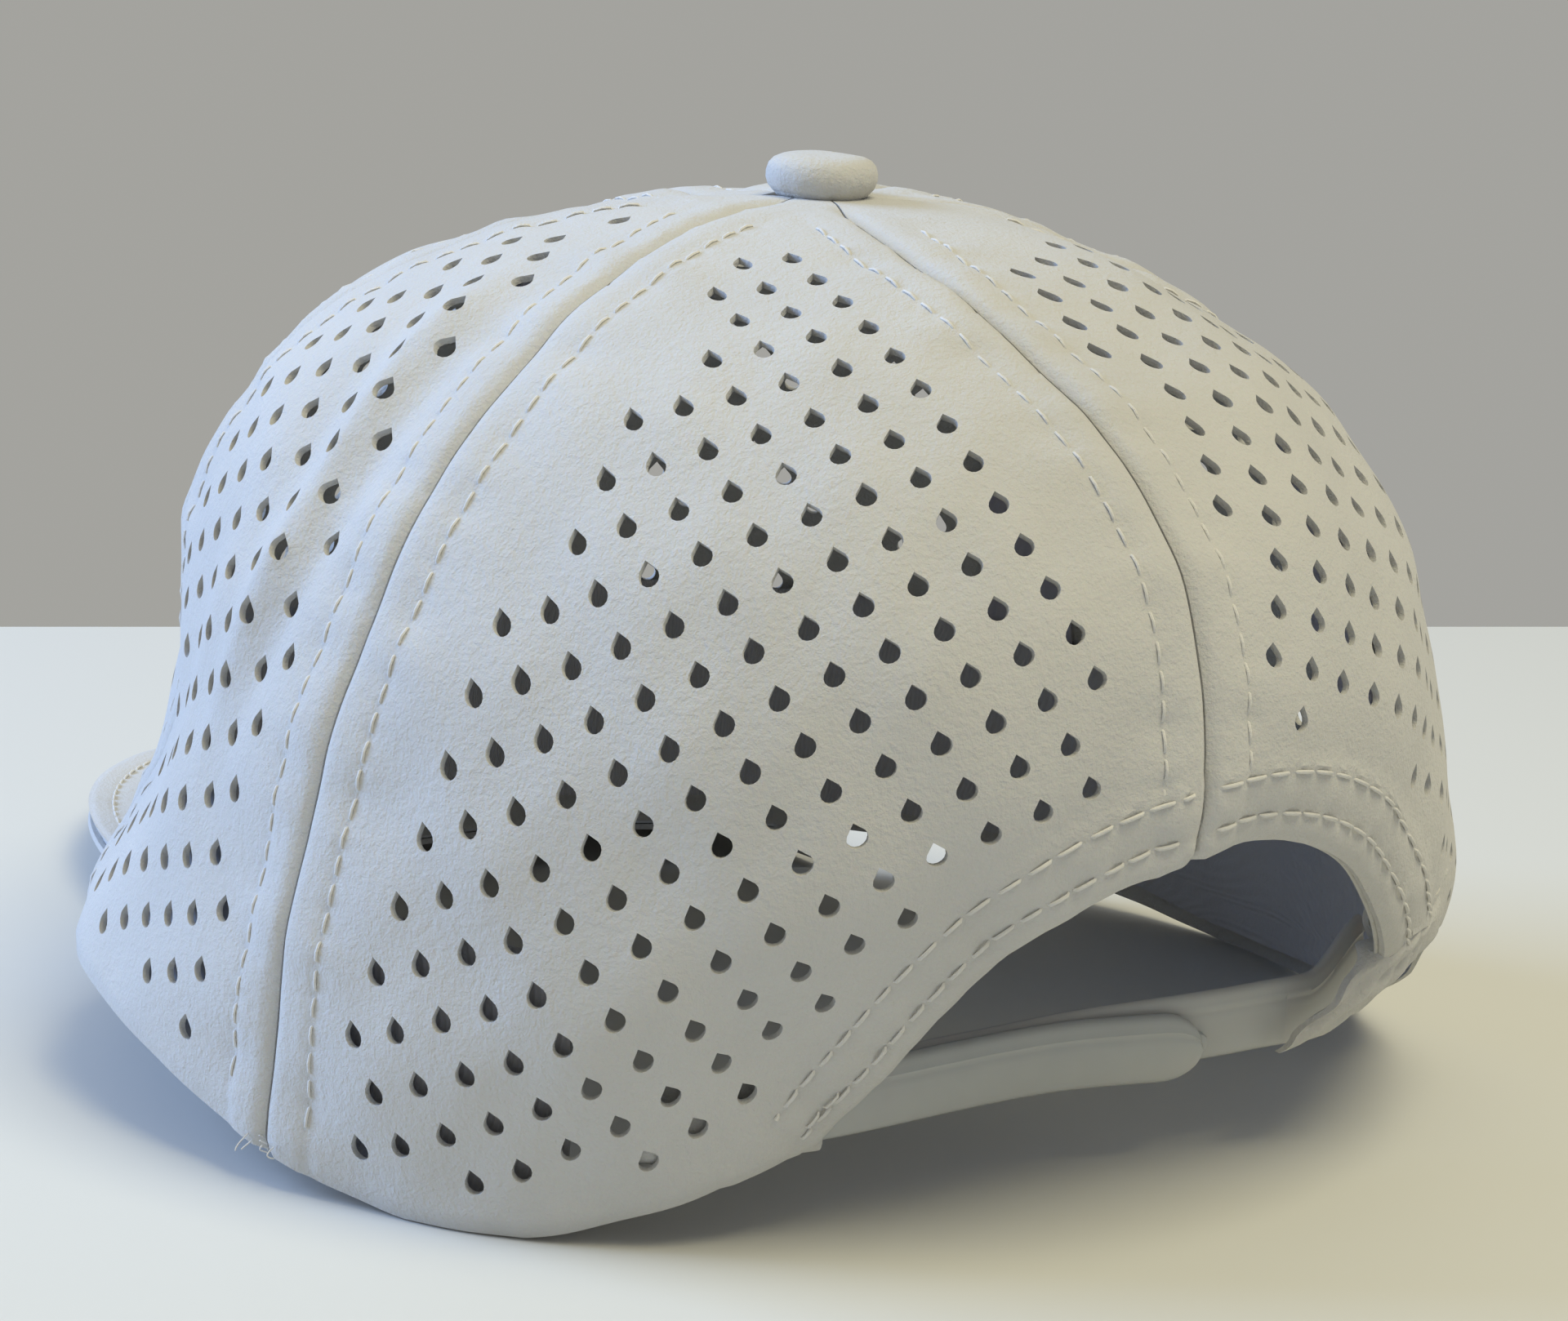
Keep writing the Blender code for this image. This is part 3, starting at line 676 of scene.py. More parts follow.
# ---------------------------------------------------------------- mesh helpers
def new_piece(name, points, faces, material, body="crown", smooth_angle=40.0):
    mesh = bpy.data.meshes.new(name)
    mesh.from_pydata([tuple(map(float, p)) for p in points], [], [tuple(map(int, f)) for f in faces])
    mesh.validate()
    mesh.polygons.foreach_set("use_smooth", [True] * len(mesh.polygons))
    mesh.set_sharp_from_angle(angle=math.radians(smooth_angle))
    mesh.materials.append(material)
    piece = bpy.data.objects.new(name, mesh)
    bpy.context.scene.collection.objects.link(piece)
    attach(piece, body)
    return piece


def solid_sheet(name, outer, inner, triangles):
    """A closed sheet between two matching sets of points."""
    count = len(outer)
    a, b, c = outer[triangles[:, 0]], outer[triangles[:, 1]], outer[triangles[:, 2]]
    facing = np.einsum("ij,ij->i", np.cross(b - a, c - a), a - inner[triangles[:, 0]])
    triangles = np.where((facing < 0)[:, None], triangles[:, ::-1], triangles)
    under = triangles[:, ::-1] + count
    sides = np.concatenate([triangles[:, [0, 1]], triangles[:, [1, 2]], triangles[:, [2, 0]]])
    known = {(int(p), int(q)) for p, q in sides}
    walls = [(q, p, p + count, q + count) for p, q in known if (q, p) not in known]
    used = np.unique(triangles)
    place = np.full(2 * count, -1)
    place[used] = np.arange(len(used))
    place[used + count] = np.arange(len(used)) + len(used)
    points = np.concatenate([outer[used], inner[used]])
    faces = [tuple(place[list(f)]) for f in triangles] + [tuple(place[list(f)]) for f in under]
    faces += [tuple(place[list(f)]) for f in sorted(walls)]
    return new_piece(name, points, faces, MATERIALS["microfibre"])


def grid_shell(name, outer, inner, material, closed=False):
    """A closed solid between two grids of points, given as (rows, columns, 3)."""
    outer, inner = np.array(outer), np.array(inner)
    rows, columns = outer.shape[:2]
    points = np.concatenate([outer.reshape(-1, 3), inner.reshape(-1, 3)])
    count, last = rows * columns, (rows - 1) * columns
    steps = [(j, (j + 1) % columns) for j in range(columns if closed else columns - 1)]
    faces = []
    for start in range(0, last, columns):
        for j, k in steps:
            a, b = start + j, start + k
            c, d = b + columns, a + columns
            faces.append((a, b, c, d))
            faces.append((d + count, c + count, b + count, a + count))
    walls = []
    for j, k in steps:
        walls += [(k, j), (last + j, last + k)]
    if not closed:
        for start in range(0, last, columns):
            end = start + columns - 1
            walls += [(start, start + columns), (end + columns, end)]
    faces += [(a, b, b + count, a + count) for a, b in walls]
    middle = (rows // 2) * columns + columns // 2
    below = middle - columns if rows // 2 == rows - 1 else middle + columns
    normal = np.cross(points[middle + 1] - points[middle], points[below] - points[middle])
    if np.dot(normal, points[middle] - points[middle + count]) < 0:
        faces = [face[::-1] for face in faces]
    return new_piece(name, points, faces, material)


def ring_faces(rings, sides):
    """Faces of rings of points joined in a row, with both ends closed."""
    faces = []
    for k in range(rings - 1):
        for n in range(sides):
            a, b = k * sides + n, k * sides + (n + 1) % sides
            faces.append((a, b, b + sides, a + sides))
    faces.append(tuple(range(sides))[::-1])
    faces.append(tuple(range((rings - 1) * sides, rings * sides)))
    return faces


def tube(centres, radius, sides=8, taper=None):
    """Points and faces of a round tube along a line of centres."""
    centres = np.asarray(centres, float)
    way = np.gradient(centres, axis=0)
    way /= np.maximum(np.linalg.norm(way, axis=1, keepdims=True), 1e-12)
    side = np.cross(way[0], (0.0, 0.0, 1.0))
    if np.linalg.norm(side) < 1e-3:
        side = np.cross(way[0], (0.0, 1.0, 0.0))
    points = []
    for k, (centre, ahead) in enumerate(zip(centres, way)):
        side = side - ahead * (side @ ahead)
        side /= np.linalg.norm(side)
        up = np.cross(ahead, side)
        size = radius * (taper[k] if taper is not None else 1.0)
        for n in range(sides):
            turn = 2 * math.pi * n / sides
            points.append(centre + size * (side * math.cos(turn) + up * math.sin(turn)))
    return points, ring_faces(len(centres), sides)


def merged(meshes):
    """Several meshes, each its points and faces, as one."""
    points, faces = [], []
    for made, sides in meshes:
        faces += [tuple(v + len(points) for v in face) for face in sides]
        points += made
    return points, faces


def stitch_row(line, normals, run=None, radius=0.00020):
    """Threads of a stitched row: short arcs that dip into the cloth at both ends."""
    if run is None:
        steps = np.linalg.norm(np.diff(line, axis=0), axis=1)
        run = np.concatenate([[0.0], np.cumsum(steps)])
    order = np.argsort(run)
    run, line, normals = run[order], line[order], normals[order]
    threads = []
    number = math.ceil(run[0] / STITCH_PITCH)
    while number * STITCH_PITCH + STITCH_LENGTH < run[-1]:
        stretch = STITCH_LENGTH * (1.0 + 0.06 * math.sin(number * 2.3))
        places = number * STITCH_PITCH + stretch * np.array((0.0, 0.12, 0.5, 0.88, 1.0))
        centres = np.stack([np.interp(places, run, line[:, k]) for k in range(3)], axis=1)
        lifts = np.stack([np.interp(places, run, normals[:, k]) for k in range(3)], axis=1)
        rise = np.array((-0.00034, 0.00002, 0.00010, 0.00002, -0.00034))
        centres = centres + lifts * rise[:, None]
        threads.append(tube(centres, radius, 6, (0.55, 0.95, 1.0, 0.95, 0.55)))
        number += 1
    return merged(threads)


def threads_piece(name, rows):
    piece = new_piece(name, *merged(rows), MATERIALS["thread"], smooth_angle=60.0)


# ---------------------------------------------------------------- materials
def fill(made, values):
    """Sets a node's inputs, named with _ for each space."""
    for name, value in values.items():
        made.inputs[name.replace("_", " ")].default_value = value


def node(tree, kind, **values):
    made = tree.nodes.new(kind)
    fill(made, values)
    return made


def link(tree, source, output, target, slot):
    tree.links.new(source.outputs[output], target.inputs[slot])


def shaded(name, **values):
    """A new material with its node tree and its shader."""
    material = bpy.data.materials.new(name)
    material.use_nodes = True
    tree = material.node_tree
    shader = tree.nodes["Principled BSDF"]
    fill(shader, values)
    return material, tree, shader


def cloth_material(name, color, grain, bump, mottling, weave=0.0, sheen=0.25):
    """Brushed cloth: fine nap in the bump, faint cloudy shading in the colour."""
    material, tree, shader = shaded(name, Roughness=0.92, Specular_IOR_Level=0.18,
                                    Sheen_Weight=sheen, Sheen_Roughness=0.55)
    place = node(tree, "ShaderNodeTexCoord")
    cloud = node(tree, "ShaderNodeTexNoise", Scale=55.0, Detail=4.0, Roughness=0.6)
    nap = node(tree, "ShaderNodeTexNoise", Scale=grain, Detail=3.0, Roughness=0.65)
    speck = node(tree, "ShaderNodeTexNoise", Scale=grain * 0.35, Detail=2.0, Roughness=0.5)
    for texture in (cloud, nap, speck):
        link(tree, place, "Object", texture, "Vector")
    ramp = node(tree, "ShaderNodeValToRGB")
    dark, pale = ramp.color_ramp.elements
    dark.position, pale.position = 0.30, 0.70
    dark.color, pale.color = (*[c * (1.0 - mottling) for c in color], 1.0), (*color, 1.0)
    mix = node(tree, "ShaderNodeMix")
    mix.data_type = "RGBA"
    mix.blend_type = "MULTIPLY"
    mix.inputs["Factor"].default_value = 0.10
    link(tree, cloud, "Fac", ramp, "Fac")
    link(tree, ramp, "Color", mix, "A")
    link(tree, nap, "Color", mix, "B")
    link(tree, mix, "Result", shader, "Base Color")
    height = nap, "Fac"
    if weave:
        wave = node(tree, "ShaderNodeTexWave", Scale=weave, Distortion=0.6, Detail=1.0)
        link(tree, place, "Object", wave, "Vector")
        both = node(tree, "ShaderNodeMath")
        both.operation = "ADD"
        link(tree, nap, "Fac", both, 0)
        link(tree, wave, "Fac", both, 1)
        height = both, "Value"
    fine = node(tree, "ShaderNodeBump", Strength=bump, Distance=0.00022)
    broad = node(tree, "ShaderNodeBump", Strength=bump * 0.6, Distance=0.00035)
    link(tree, *height, fine, "Height")
    link(tree, speck, "Fac", broad, "Height")
    link(tree, broad, "Normal", fine, "Normal")
    link(tree, fine, "Normal", shader, "Normal")
    return material


def plastic_material(name, color, roughness, bump, metallic=0.0):
    """Moulded plastic or metal with a faint uneven surface."""
    material, tree, shader = shaded(name, Metallic=metallic,
                                    Subsurface_Weight=0.0 if metallic else 0.08)
    place = node(tree, "ShaderNodeTexCoord")
    noise = node(tree, "ShaderNodeTexNoise", Scale=260.0, Detail=3.0, Roughness=0.6)
    tone = node(tree, "ShaderNodeValToRGB")
    dark, pale = tone.color_ramp.elements
    dark.color, pale.color = (*[c * 0.93 for c in color], 1.0), (*color, 1.0)
    gloss = node(tree, "ShaderNodeMapRange", To_Min=roughness - 0.06, To_Max=roughness + 0.06)
    rough = node(tree, "ShaderNodeBump", Strength=bump, Distance=0.0002)
    link(tree, place, "Object", noise, "Vector")
    link(tree, noise, "Fac", tone, "Fac")
    link(tree, tone, "Color", shader, "Base Color")
    link(tree, noise, "Fac", gloss, "Value")
    link(tree, gloss, "Result", shader, "Roughness")
    link(tree, noise, "Fac", rough, "Height")
    link(tree, rough, "Normal", shader, "Normal")
    return material


def stage_material(name, color, roughness):
    return shaded(name, Base_Color=(*color, 1.0), Roughness=roughness, Specular_IOR_Level=0.2)[0]


MATERIALS = {
    "microfibre": cloth_material("microfibre_cloth", (0.60, 0.595, 0.575), 2200.0, 0.85, 0.06),
    # Painted shade: the seam tapes' cloth is a darker lavender grey than the pale cap cloth, standing
    # in for the shade inside the cap.
    "lining": cloth_material("woven_lining", (0.50, 0.49, 0.57), 1800.0, 0.4, 0.05, weave=420.0),
    "band": cloth_material("sweatband_knit", (0.55, 0.55, 0.58), 2000.0, 0.5, 0.05, weave=700.0),
    "thread": cloth_material("white_thread", (0.74, 0.73, 0.70), 5200.0, 0.5, 0.05, sheen=0.1),
    "plastic": plastic_material("white_strap_plastic_finish", (0.50, 0.505, 0.51), 0.42, 0.12),
    "board": plastic_material("visor_board_plastic_finish", (0.72, 0.73, 0.74), 0.5, 0.1),
    "metal": plastic_material("button_metal_finish", (0.60, 0.60, 0.61), 0.3, 0.05, 1.0),
}


# ---------------------------------------------------------------- the pieces
def panels():
    rear = dict(top=0.0250, first=0.0130, last=0.0160, last_low=-0.0050, rim=0.0055, arch=0.0135,
                start=(-0.00120, 0.09908))
    rear_right = dict(top=0.0290, first=0.0160, first_low=-0.0050, last=0.0088, rim=0.0065,
                      arch=0.0135, start=(-0.00035, 0.09968))
    side = dict(top=0.0300, first=0.0105, last=0.0105, rim=0.0060, start=(-0.0028, 0.0900))
    front = dict(top=0.0330, first=0.0120, last=0.0120, rim=0.0120, start=(0.0010, 0.0880))
    plan = (
        ("back_left", 0.0, REAR_SEAM, 1, rear, False, 0.0),
        ("back_right", -REAR_SEAM, 0.0, -1, rear_right, True, 0.0),
        ("side_left", REAR_SEAM, FRONT_SEAM, 0, side, False, 10.0),
        ("side_right", -FRONT_SEAM, -REAR_SEAM, 0, side, True, 10.0),
        ("front_left", FRONT_SEAM, 180.0, 0, front, False, 18.0),
        ("front_right", -180.0, -FRONT_SEAM, 0, front, True, 18.0),
    )
    for name, first, last, back_side, margins, mirrored, tilt in plan:
        piece = perforated_panel(f"{name}_perforated", first, last, back_side, margins, mirrored, tilt)
        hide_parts(f"{name}_panel")


SEAM_NAMES = {0.0: "back", REAR_SEAM: "left_rear", FRONT_SEAM: "left_front", 180.0: "front",
              -FRONT_SEAM: "right_front", -REAR_SEAM: "right_rear"}


def beside_seam(seam, offset, ts):
    """Angles of a line this far beside a seam."""
    reach = np.hypot(*crown(seam_at(seam, ts), ts)[:, :2].T)
    return seam_at(seam, ts) + np.degrees(offset / reach)


def seam_stitches():
    for seam, name in SEAM_NAMES.items():
        rows = []
        for side in (-1.0, 1.0):
            end = arch_t_at(0.0) - 0.024 if seam == 0.0 else 0.992
            ts = np.linspace(0.11, end, 220)
            angles = beside_seam(seam, side * STITCH_OFFSET, ts)
            rows.append(stitch_row(cloth(angles, ts, 0.0, 0.0001), crown_normal(angles, ts),
                                   run_down(seam, ts)))
        threads_piece(f"{name}_seam_stitches", rows)


def hem_stitches():
    """Two stitched rows round the opening, with a back-tack where the inner one ends."""
    rows = []
    for pattern, arch, loop, stretch in HEMS.values():
        ahead = (arch[3] - arch[0]) / np.linalg.norm(arch[3] - arch[0])
        arch = np.concatenate([[arch[0] - ahead * 0.008], arch])
        line = along_line(arch, 0.0008)
        way = np.gradient(line, axis=0)
        way /= np.linalg.norm(way, axis=1, keepdims=True)
        side = np.stack([-way[:, 1], way[:, 0]], axis=1)
        if inside(line + side * 0.002, loop).mean() < 0.5:
            side = -side
        _, run = nearest_on(line, arch)
        for row in HEM_ROWS:
            flat = line + side * row * stretch
            keep = (distance_to(flat, arch) > row * stretch * 0.93) & inside(flat, loop)
            keep &= flat[:, 1] < pattern.v[-1] - 0.001
            angle, t = pattern.worn(flat[keep])
            extra = 0.00058 if row == HEM_ROWS[0] else 0.00050
            line_worn, lifts = cloth(angle, t, 0.0, extra), crown_normal(angle, t)
            rows.append(stitch_row(line_worn, lifts, run[keep], HEM_THREAD_RADIUS))
            if row == HEM_ROWS[0] and pattern.last > 0.0:
                tack = slice(len(angle) - 12, len(angle))
                again = cloth(angle[tack], t[tack] - 0.004, 0.0, extra + 0.0002)
                rows.append(stitch_row(again, lifts[tack], run[keep][tack] + 0.0012))
    threads_piece("opening_hem_stitches", rows)


def seam_tapes():
    """Folded tapes that cover each seam inside."""
    for seam, name in SEAM_NAMES.items():
        end = arch_t_at(0.0) - 0.105 if seam == 0.0 else 0.985
        ts = np.linspace(0.10, end, 90)
        offsets = np.linspace(-0.0072, 0.0072, 15)
        top, bottom = [], []
        for offset in offsets:
            angles = beside_seam(seam, offset, ts)
            edge = 0.00030 * bell(abs(offset), 0.0060, 0.0007) - 0.00018 * bell(offset, 0.0, 0.0008)
            top.append(beneath(angles, ts, 0.00195))
            bottom.append(beneath(angles, ts, 0.00240 + edge))
        # The tapes' darker lavender grey cloth is painted shade for the cap's shaded inside.
        piece = grid_shell(f"{name}_tape", top, bottom, MATERIALS["lining"])
        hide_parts(f"{name}_seam_tape")


def sweatband():
    """Soft band round the inside of the rim, padded and slightly gathered."""
    angles = np.linspace(*SWEATBAND_ANGLES, 253)
    shares = np.linspace(-0.985, 0.985, 21)
    outer, inner = [], []
    for share in shares:
        swell = (1.0 - abs(share) ** 5) ** 0.5
        gather = 0.00022 * np.sin(np.radians(angles) * 71.0 + 2.0 * np.sin(np.radians(angles) * 9.0))
        gather *= smooth(-0.2, -0.9, share)
        roll = 0.0008 * bell(share, -0.86, 0.16)
        stitch = 0.0005 * bell(share, 0.80, 0.05)
        full = np.full(len(angles), SWEATBAND_T + SWEATBAND_HALF_T * share)
        outer.append(beneath(angles, full, 0.0036 - 0.0009 * swell))
        thick = 0.0036 + (0.0009 + roll - stitch) * swell
        inner.append(beneath(angles, full, thick - gather))
    piece = grid_shell("sweatband_padded", outer, inner, MATERIALS["band"])
    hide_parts("sweatband")


def opening_facing():
    """The turned-in ply of the hem, a sliver of its fold showing at the opening's edge."""
    turns = np.concatenate([np.linspace(-82.0, -60.0, 40), np.linspace(-59.0, 59.0, 120),
                            np.linspace(60.0, 88.0, 40)])
    widths = np.array((0.0094, 0.0075, 0.0050, 0.0025, 0.0004, -0.0003))
    outer, inner = [], []
    for width in widths:
        angles, ts = opening_edge(turns, width)
        fold = 0.00025 if width < 0 else 0.0
        outer.append(beneath(angles, np.minimum(ts, 0.998), 0.00115 + fold))
        inner.append(beneath(angles, np.minimum(ts, 0.998), 0.00190 - fold))
    piece = grid_shell("opening_hem_ply", outer, inner, MATERIALS["microfibre"])
    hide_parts("opening_facing")


# ---------------------------------------------------------------- the strap
def strap_frame(angle, depth, height=STRAP_MID_Z):
    """A point on a strap's run, with the way along it and the way out of the crown."""
    here = crown(angle, t_at_height(angle, height))
    ahead = crown(angle + 1.0, t_at_height(angle + 1.0, height))
    behind = crown(angle - 1.0, t_at_height(angle - 1.0, height))
    along = np.array((*(ahead - behind)[:2], 0.0))
    along /= np.linalg.norm(along)
    outward = np.array((along[1], -along[0], 0.0))
    if outward[1] < 0:
        outward = -outward
    point = np.array((here[0], here[1], height)) - outward * depth + CROWN_PLACE
    return point, along, outward


def strap_section(bulge):
    """A strap's cross-section: flat inside, rounded outside with a moulded line."""
    half, wall = STRAP_HEIGHT / 2, STRAP_THICKNESS / 2
    rises = np.linspace(-1.0, 1.0, 23)
    edge = (1.0 - abs(rises) ** 7) ** 0.5
    face = wall * (0.25 + 0.75 * edge) + bulge * (1.0 - rises**2)
    face -= 0.00022 * bell(rises, 0.42, 0.05) - 0.00012 * bell(rises, 0.54, 0.05)
    back = -wall * (0.25 + 0.75 * edge)
    outside = [(a, r * half) for a, r in zip(face, rises)]
    inside_line = [(a, r * half) for a, r in zip(back, rises)][::-1]
    return np.array(outside + inside_line)


def strap_piece(name, body, root, tip, depth, bulge, rises, tip_length, pegged=False):
    """A length of strap between two angles, raised by this much at its root and its tip."""
    angles = np.linspace(root, tip, 120)
    frames = [strap_frame(angle, depth) for angle in angles]
    line = np.array([point for point, _, _ in frames])
    outs = np.array([out for _, _, out in frames])
    run = np.concatenate([[0.0], np.cumsum(np.linalg.norm(np.diff(line, axis=0), axis=1))])
    left = run[-1] - run
    lift = rises[1] + (rises[0] - rises[1]) * (1.0 - smooth(0.0, 0.75, run / run[-1]))
    section = strap_section(bulge)
    rings = []
    for k, (point, out) in enumerate(zip(line, outs)):
        near = min(left[k] / tip_length, 1.0)
        close = math.sqrt(max(1.0 - (1.0 - near) ** 2.2, 0.0))
        close = max(close, 0.04)
        bump = bumps(run[k], section[:, 1]) if pegged else 0.0
        swell = section[:, 0] * (0.35 + 0.65 * close) + bump * (section[:, 0] > 0)
        drop = -0.0006 * (1.0 - close)
        rise = section[:, 1] * close + drop + lift[k]
        rings.append(point + out * swell[:, None] + UP * rise[:, None])
    rings = np.array(rings)
    faces = ring_faces(*rings.shape[:2])
    if tip < root:
        faces = [face[::-1] for face in faces]
    piece = new_piece(name, rings.reshape(-1, 3), faces, MATERIALS["plastic"], body, 50.0)
    return piece


def bumps(run, rises):
    """Faint round swellings of the outer strap over each peg."""
    out = 0.0
    for k in range(PEG_COUNT):
        far = ((run - PEG_FIRST_RUN - k * PEG_PITCH) / 0.0021) ** 2 + (rises / 0.0024) ** 2
        out = out + 0.00016 * np.exp(-far)
    return out


def straps():
    hole_side = HOLE_STRAP_DEPTH, 0.00065
    peg_side = PEG_STRAP_DEPTH, 0.00025
    hole = strap_piece("hole_strap_moulded", "hole_strap", HOLE_STRAP_ROOT_ANGLE,
                       HOLE_STRAP_TIP_ANGLE, *hole_side, (0.0, 0.0), 0.0062, pegged=True)
    strap_piece("hole_strap_sewn_end", "crown", HOLE_STRAP_SEWN_ANGLE,
                HOLE_STRAP_ROOT_ANGLE - SEWN_OVERLAP, *hole_side, (0.0, 0.0), 0.0002)
    strap_piece("peg_strap_sewn_end", "crown", PEG_STRAP_SEWN_ANGLE,
                PEG_STRAP_ROOT_ANGLE + SEWN_OVERLAP, *peg_side, (0.0080, PEG_STRAP_RISE), 0.0002)
    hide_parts("hole_strap")
    peg = strap_piece("peg_strap_moulded", "peg_strap", PEG_STRAP_ROOT_ANGLE,
                      PEG_STRAP_TIP_ANGLE, *peg_side, (PEG_STRAP_RISE, 0.0), 0.0055)
    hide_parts("peg_strap")
    pegs = []
    for k in range(PEG_COUNT):
        angle = PEG_FIRST - math.degrees(PEG_PITCH * (k - 3.5) / STRAP_RADIUS)
        point, _, out = strap_frame(angle, PEG_STRAP_DEPTH)
        centres = [point + out * reach for reach in (0.0, 0.0008, 0.0015, 0.0019, 0.0021)]
        pegs.append(tube(centres, 0.0015, 12, (1.15, 1.0, 1.0, 0.85, 0.45)))
    piece = new_piece("peg_strap_pegs", *merged(pegs), MATERIALS["plastic"], "peg_strap")


def left_sleeve():
    """Cloth sleeve that the hole strap is sewn into, under the hem's left end."""
    angles = np.linspace(29.5, 46.0, 50)
    outer, inner = [], []
    for k, angle in enumerate(angles):
        point, _, out = strap_frame(angle, HOLE_STRAP_DEPTH)
        turn = np.linspace(0.0, 2 * math.pi, 33)[:-1]
        crumple = 1.0 + 0.06 * np.sin(3 * turn + 0.5 * k) + 0.05 * np.sin(5 * turn - 0.3 * k)
        across = 0.00215 * np.sign(np.cos(turn)) * abs(np.cos(turn)) ** 0.55 * crumple
        rise = 0.0054 * np.sign(np.sin(turn)) * abs(np.sin(turn)) ** 0.7
        ring = point + out * across[:, None] + UP * rise[:, None]
        slim = point + out * (across * 0.72)[:, None] + UP * (rise * 0.93)[:, None]
        outer.append(ring)
        inner.append(slim)
    piece = grid_shell("left_strap_sleeve", outer, inner, MATERIALS["microfibre"], closed=True)
    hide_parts("left_strap_tab")


def right_sleeve():
    """Strip of panel cloth that folds down from the opening's right corner round the strap."""
    rows, columns = 30, 26
    # The strip's lower and upper edges, as angle and height, from its tip back to the rim.
    lower = np.array(
        ((-28.0, 0.0140), (-31.5, 0.0166), (-35.5, 0.0190), (-40.0, 0.0222), (-45.5, 0.0260))
    )
    upper = np.array(
        ((-33.2, 0.0278), (-35.5, 0.0296), (-38.0, 0.0308), (-41.5, 0.0325), (-45.5, 0.0345))
    )
    shares = np.linspace(0.0, 1.0, columns)
    outer, inner = [], []
    for row in np.linspace(0.0, 1.0, rows):
        line_out, line_in = [], []
        for share in shares:
            place = share * (len(lower) - 1), np.arange(len(lower))
            low_at = np.array([np.interp(*place, lower[:, k]) for k in (0, 1)])
            high_at = np.array([np.interp(*place, upper[:, k]) for k in (0, 1)])
            angle, height = low_at * (1 - row) + high_at * row
            point, _, out = strap_frame(angle, 0.0, height)
            curl = -0.0020 * (abs(2 * row - 1.0)) ** 4 * (1.0 - 0.75 * smooth(0.0, 1.0, share))
            curl -= 0.0018 * (1.0 - smooth(0.0, 0.25, share))
            crease = 0.00035 * math.sin(16.0 * row + 5.0 * share)
            crease += 0.00030 * math.sin(29.0 * share - 9.0 * row)
            reach = 0.0006 - 0.0012 * smooth(0.55, 1.0, share) + curl + crease
            line_out.append(point + out * reach)
            line_in.append(point + out * (reach - 0.0010))
        outer.append(line_out)
        inner.append(line_in)
    piece = grid_shell("right_strap_sleeve", outer, inner, MATERIALS["microfibre"])
    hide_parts("right_strap_tab")


def hem_roll():
    """The hem's right end, curled into a small open roll with loose thread ends in it."""
    centre, along, out = strap_frame(-39.6, 0.0030, 0.0300)
    outer, inner = [], []
    for k, step in enumerate(np.linspace(-0.0065, 0.0050, 16)):
        turn = np.linspace(-0.2, 1.55 * math.pi, 34)
        size = 0.0040 - 0.00022 * turn + 0.00012 * np.sin(4.0 * turn + 0.6 * k)
        middle = centre + along * step + out * (-0.0006 * abs(step) / 0.0065)
        round_it = out * np.cos(turn)[:, None] * 0.9 + UP * np.sin(turn)[:, None]
        outer.append(middle + round_it * size[:, None])
        inner.append(middle + round_it * (size - CLOTH)[:, None])
    piece = grid_shell("hem_end_roll", outer, inner, MATERIALS["microfibre"])
    rows = []
    for k in range(7):
        start = centre + along * (0.0015 - 0.0006 * k) + out * 0.0010 * math.sin(k * 2.1)
        bend = np.linspace(0.0, 1.0, 12)
        swing = np.sin(bend * (2.2 + 0.5 * k))
        way = along * (0.0040 * bend)[:, None] + UP * (0.0022 * swing * math.cos(k))[:, None]
        path = start + way + out * (0.0026 * swing * math.sin(1.3 * k))[:, None]
        rows.append(tube(path, 0.00011, 5))
    threads_piece("hem_end_threads", rows)


def seam_end_threads():
    """Frayed thread ends where the wearer's left rear seam meets the rim."""
    rows = []
    for k in range(6):
        angle = REAR_SEAM + 1.4 * (k - 2.5) / 2.5
        start = cloth(np.array([angle]), np.array([0.996]), 0.0, 0.0002)[0]
        out = crown_normal(np.array([angle]), np.array([0.99]))[0]
        bend = np.linspace(0.0, 1.0, 8)
        fall = np.array((0.15 * math.sin(k * 1.7), 0.15 * math.cos(k * 2.3), -0.5))
        path = start + fall * (0.0042 * bend)[:, None] * (0.6 + 0.1 * k)
        path = path + out * (0.0012 * np.sin(bend * 3.0 + k))[:, None]
        path[:, 2] = np.maximum(path[:, 2], 0.0004)
        rows.append(tube(path, 0.00010, 5))
    threads_piece("seam_end_threads", rows)


# ---------------------------------------------------------------- visor and button
def visor_point(u, v, inset, lift):
    """A point across the visor; v runs from the crown to this far in from its rim."""
    angle = 180.0 - (180.0 - VISOR_ROOT_ANGLE) * u
    away = np.array((math.sin(math.radians(angle)), math.cos(math.radians(angle)), 0.0))
    root = crown(angle, 1.0) + away * 0.0005
    turn = math.radians(90.0 * u)
    height = VISOR_BOARD / 2 + VISOR_GAP + VISOR_COVER + VISOR_TILT * (1.0 + math.sin(turn))
    rim = np.array((VISOR_HALF_WIDTH * math.sin(turn),
                    VISOR_ROOT_Y + (VISOR_TIP_Y - VISOR_ROOT_Y) * math.cos(turn), height))
    share = v * (1.0 - inset / np.linalg.norm(rim - root))
    return root + (rim - root) * share + np.array((0.0, 0.0, lift)) + CROWN_PLACE


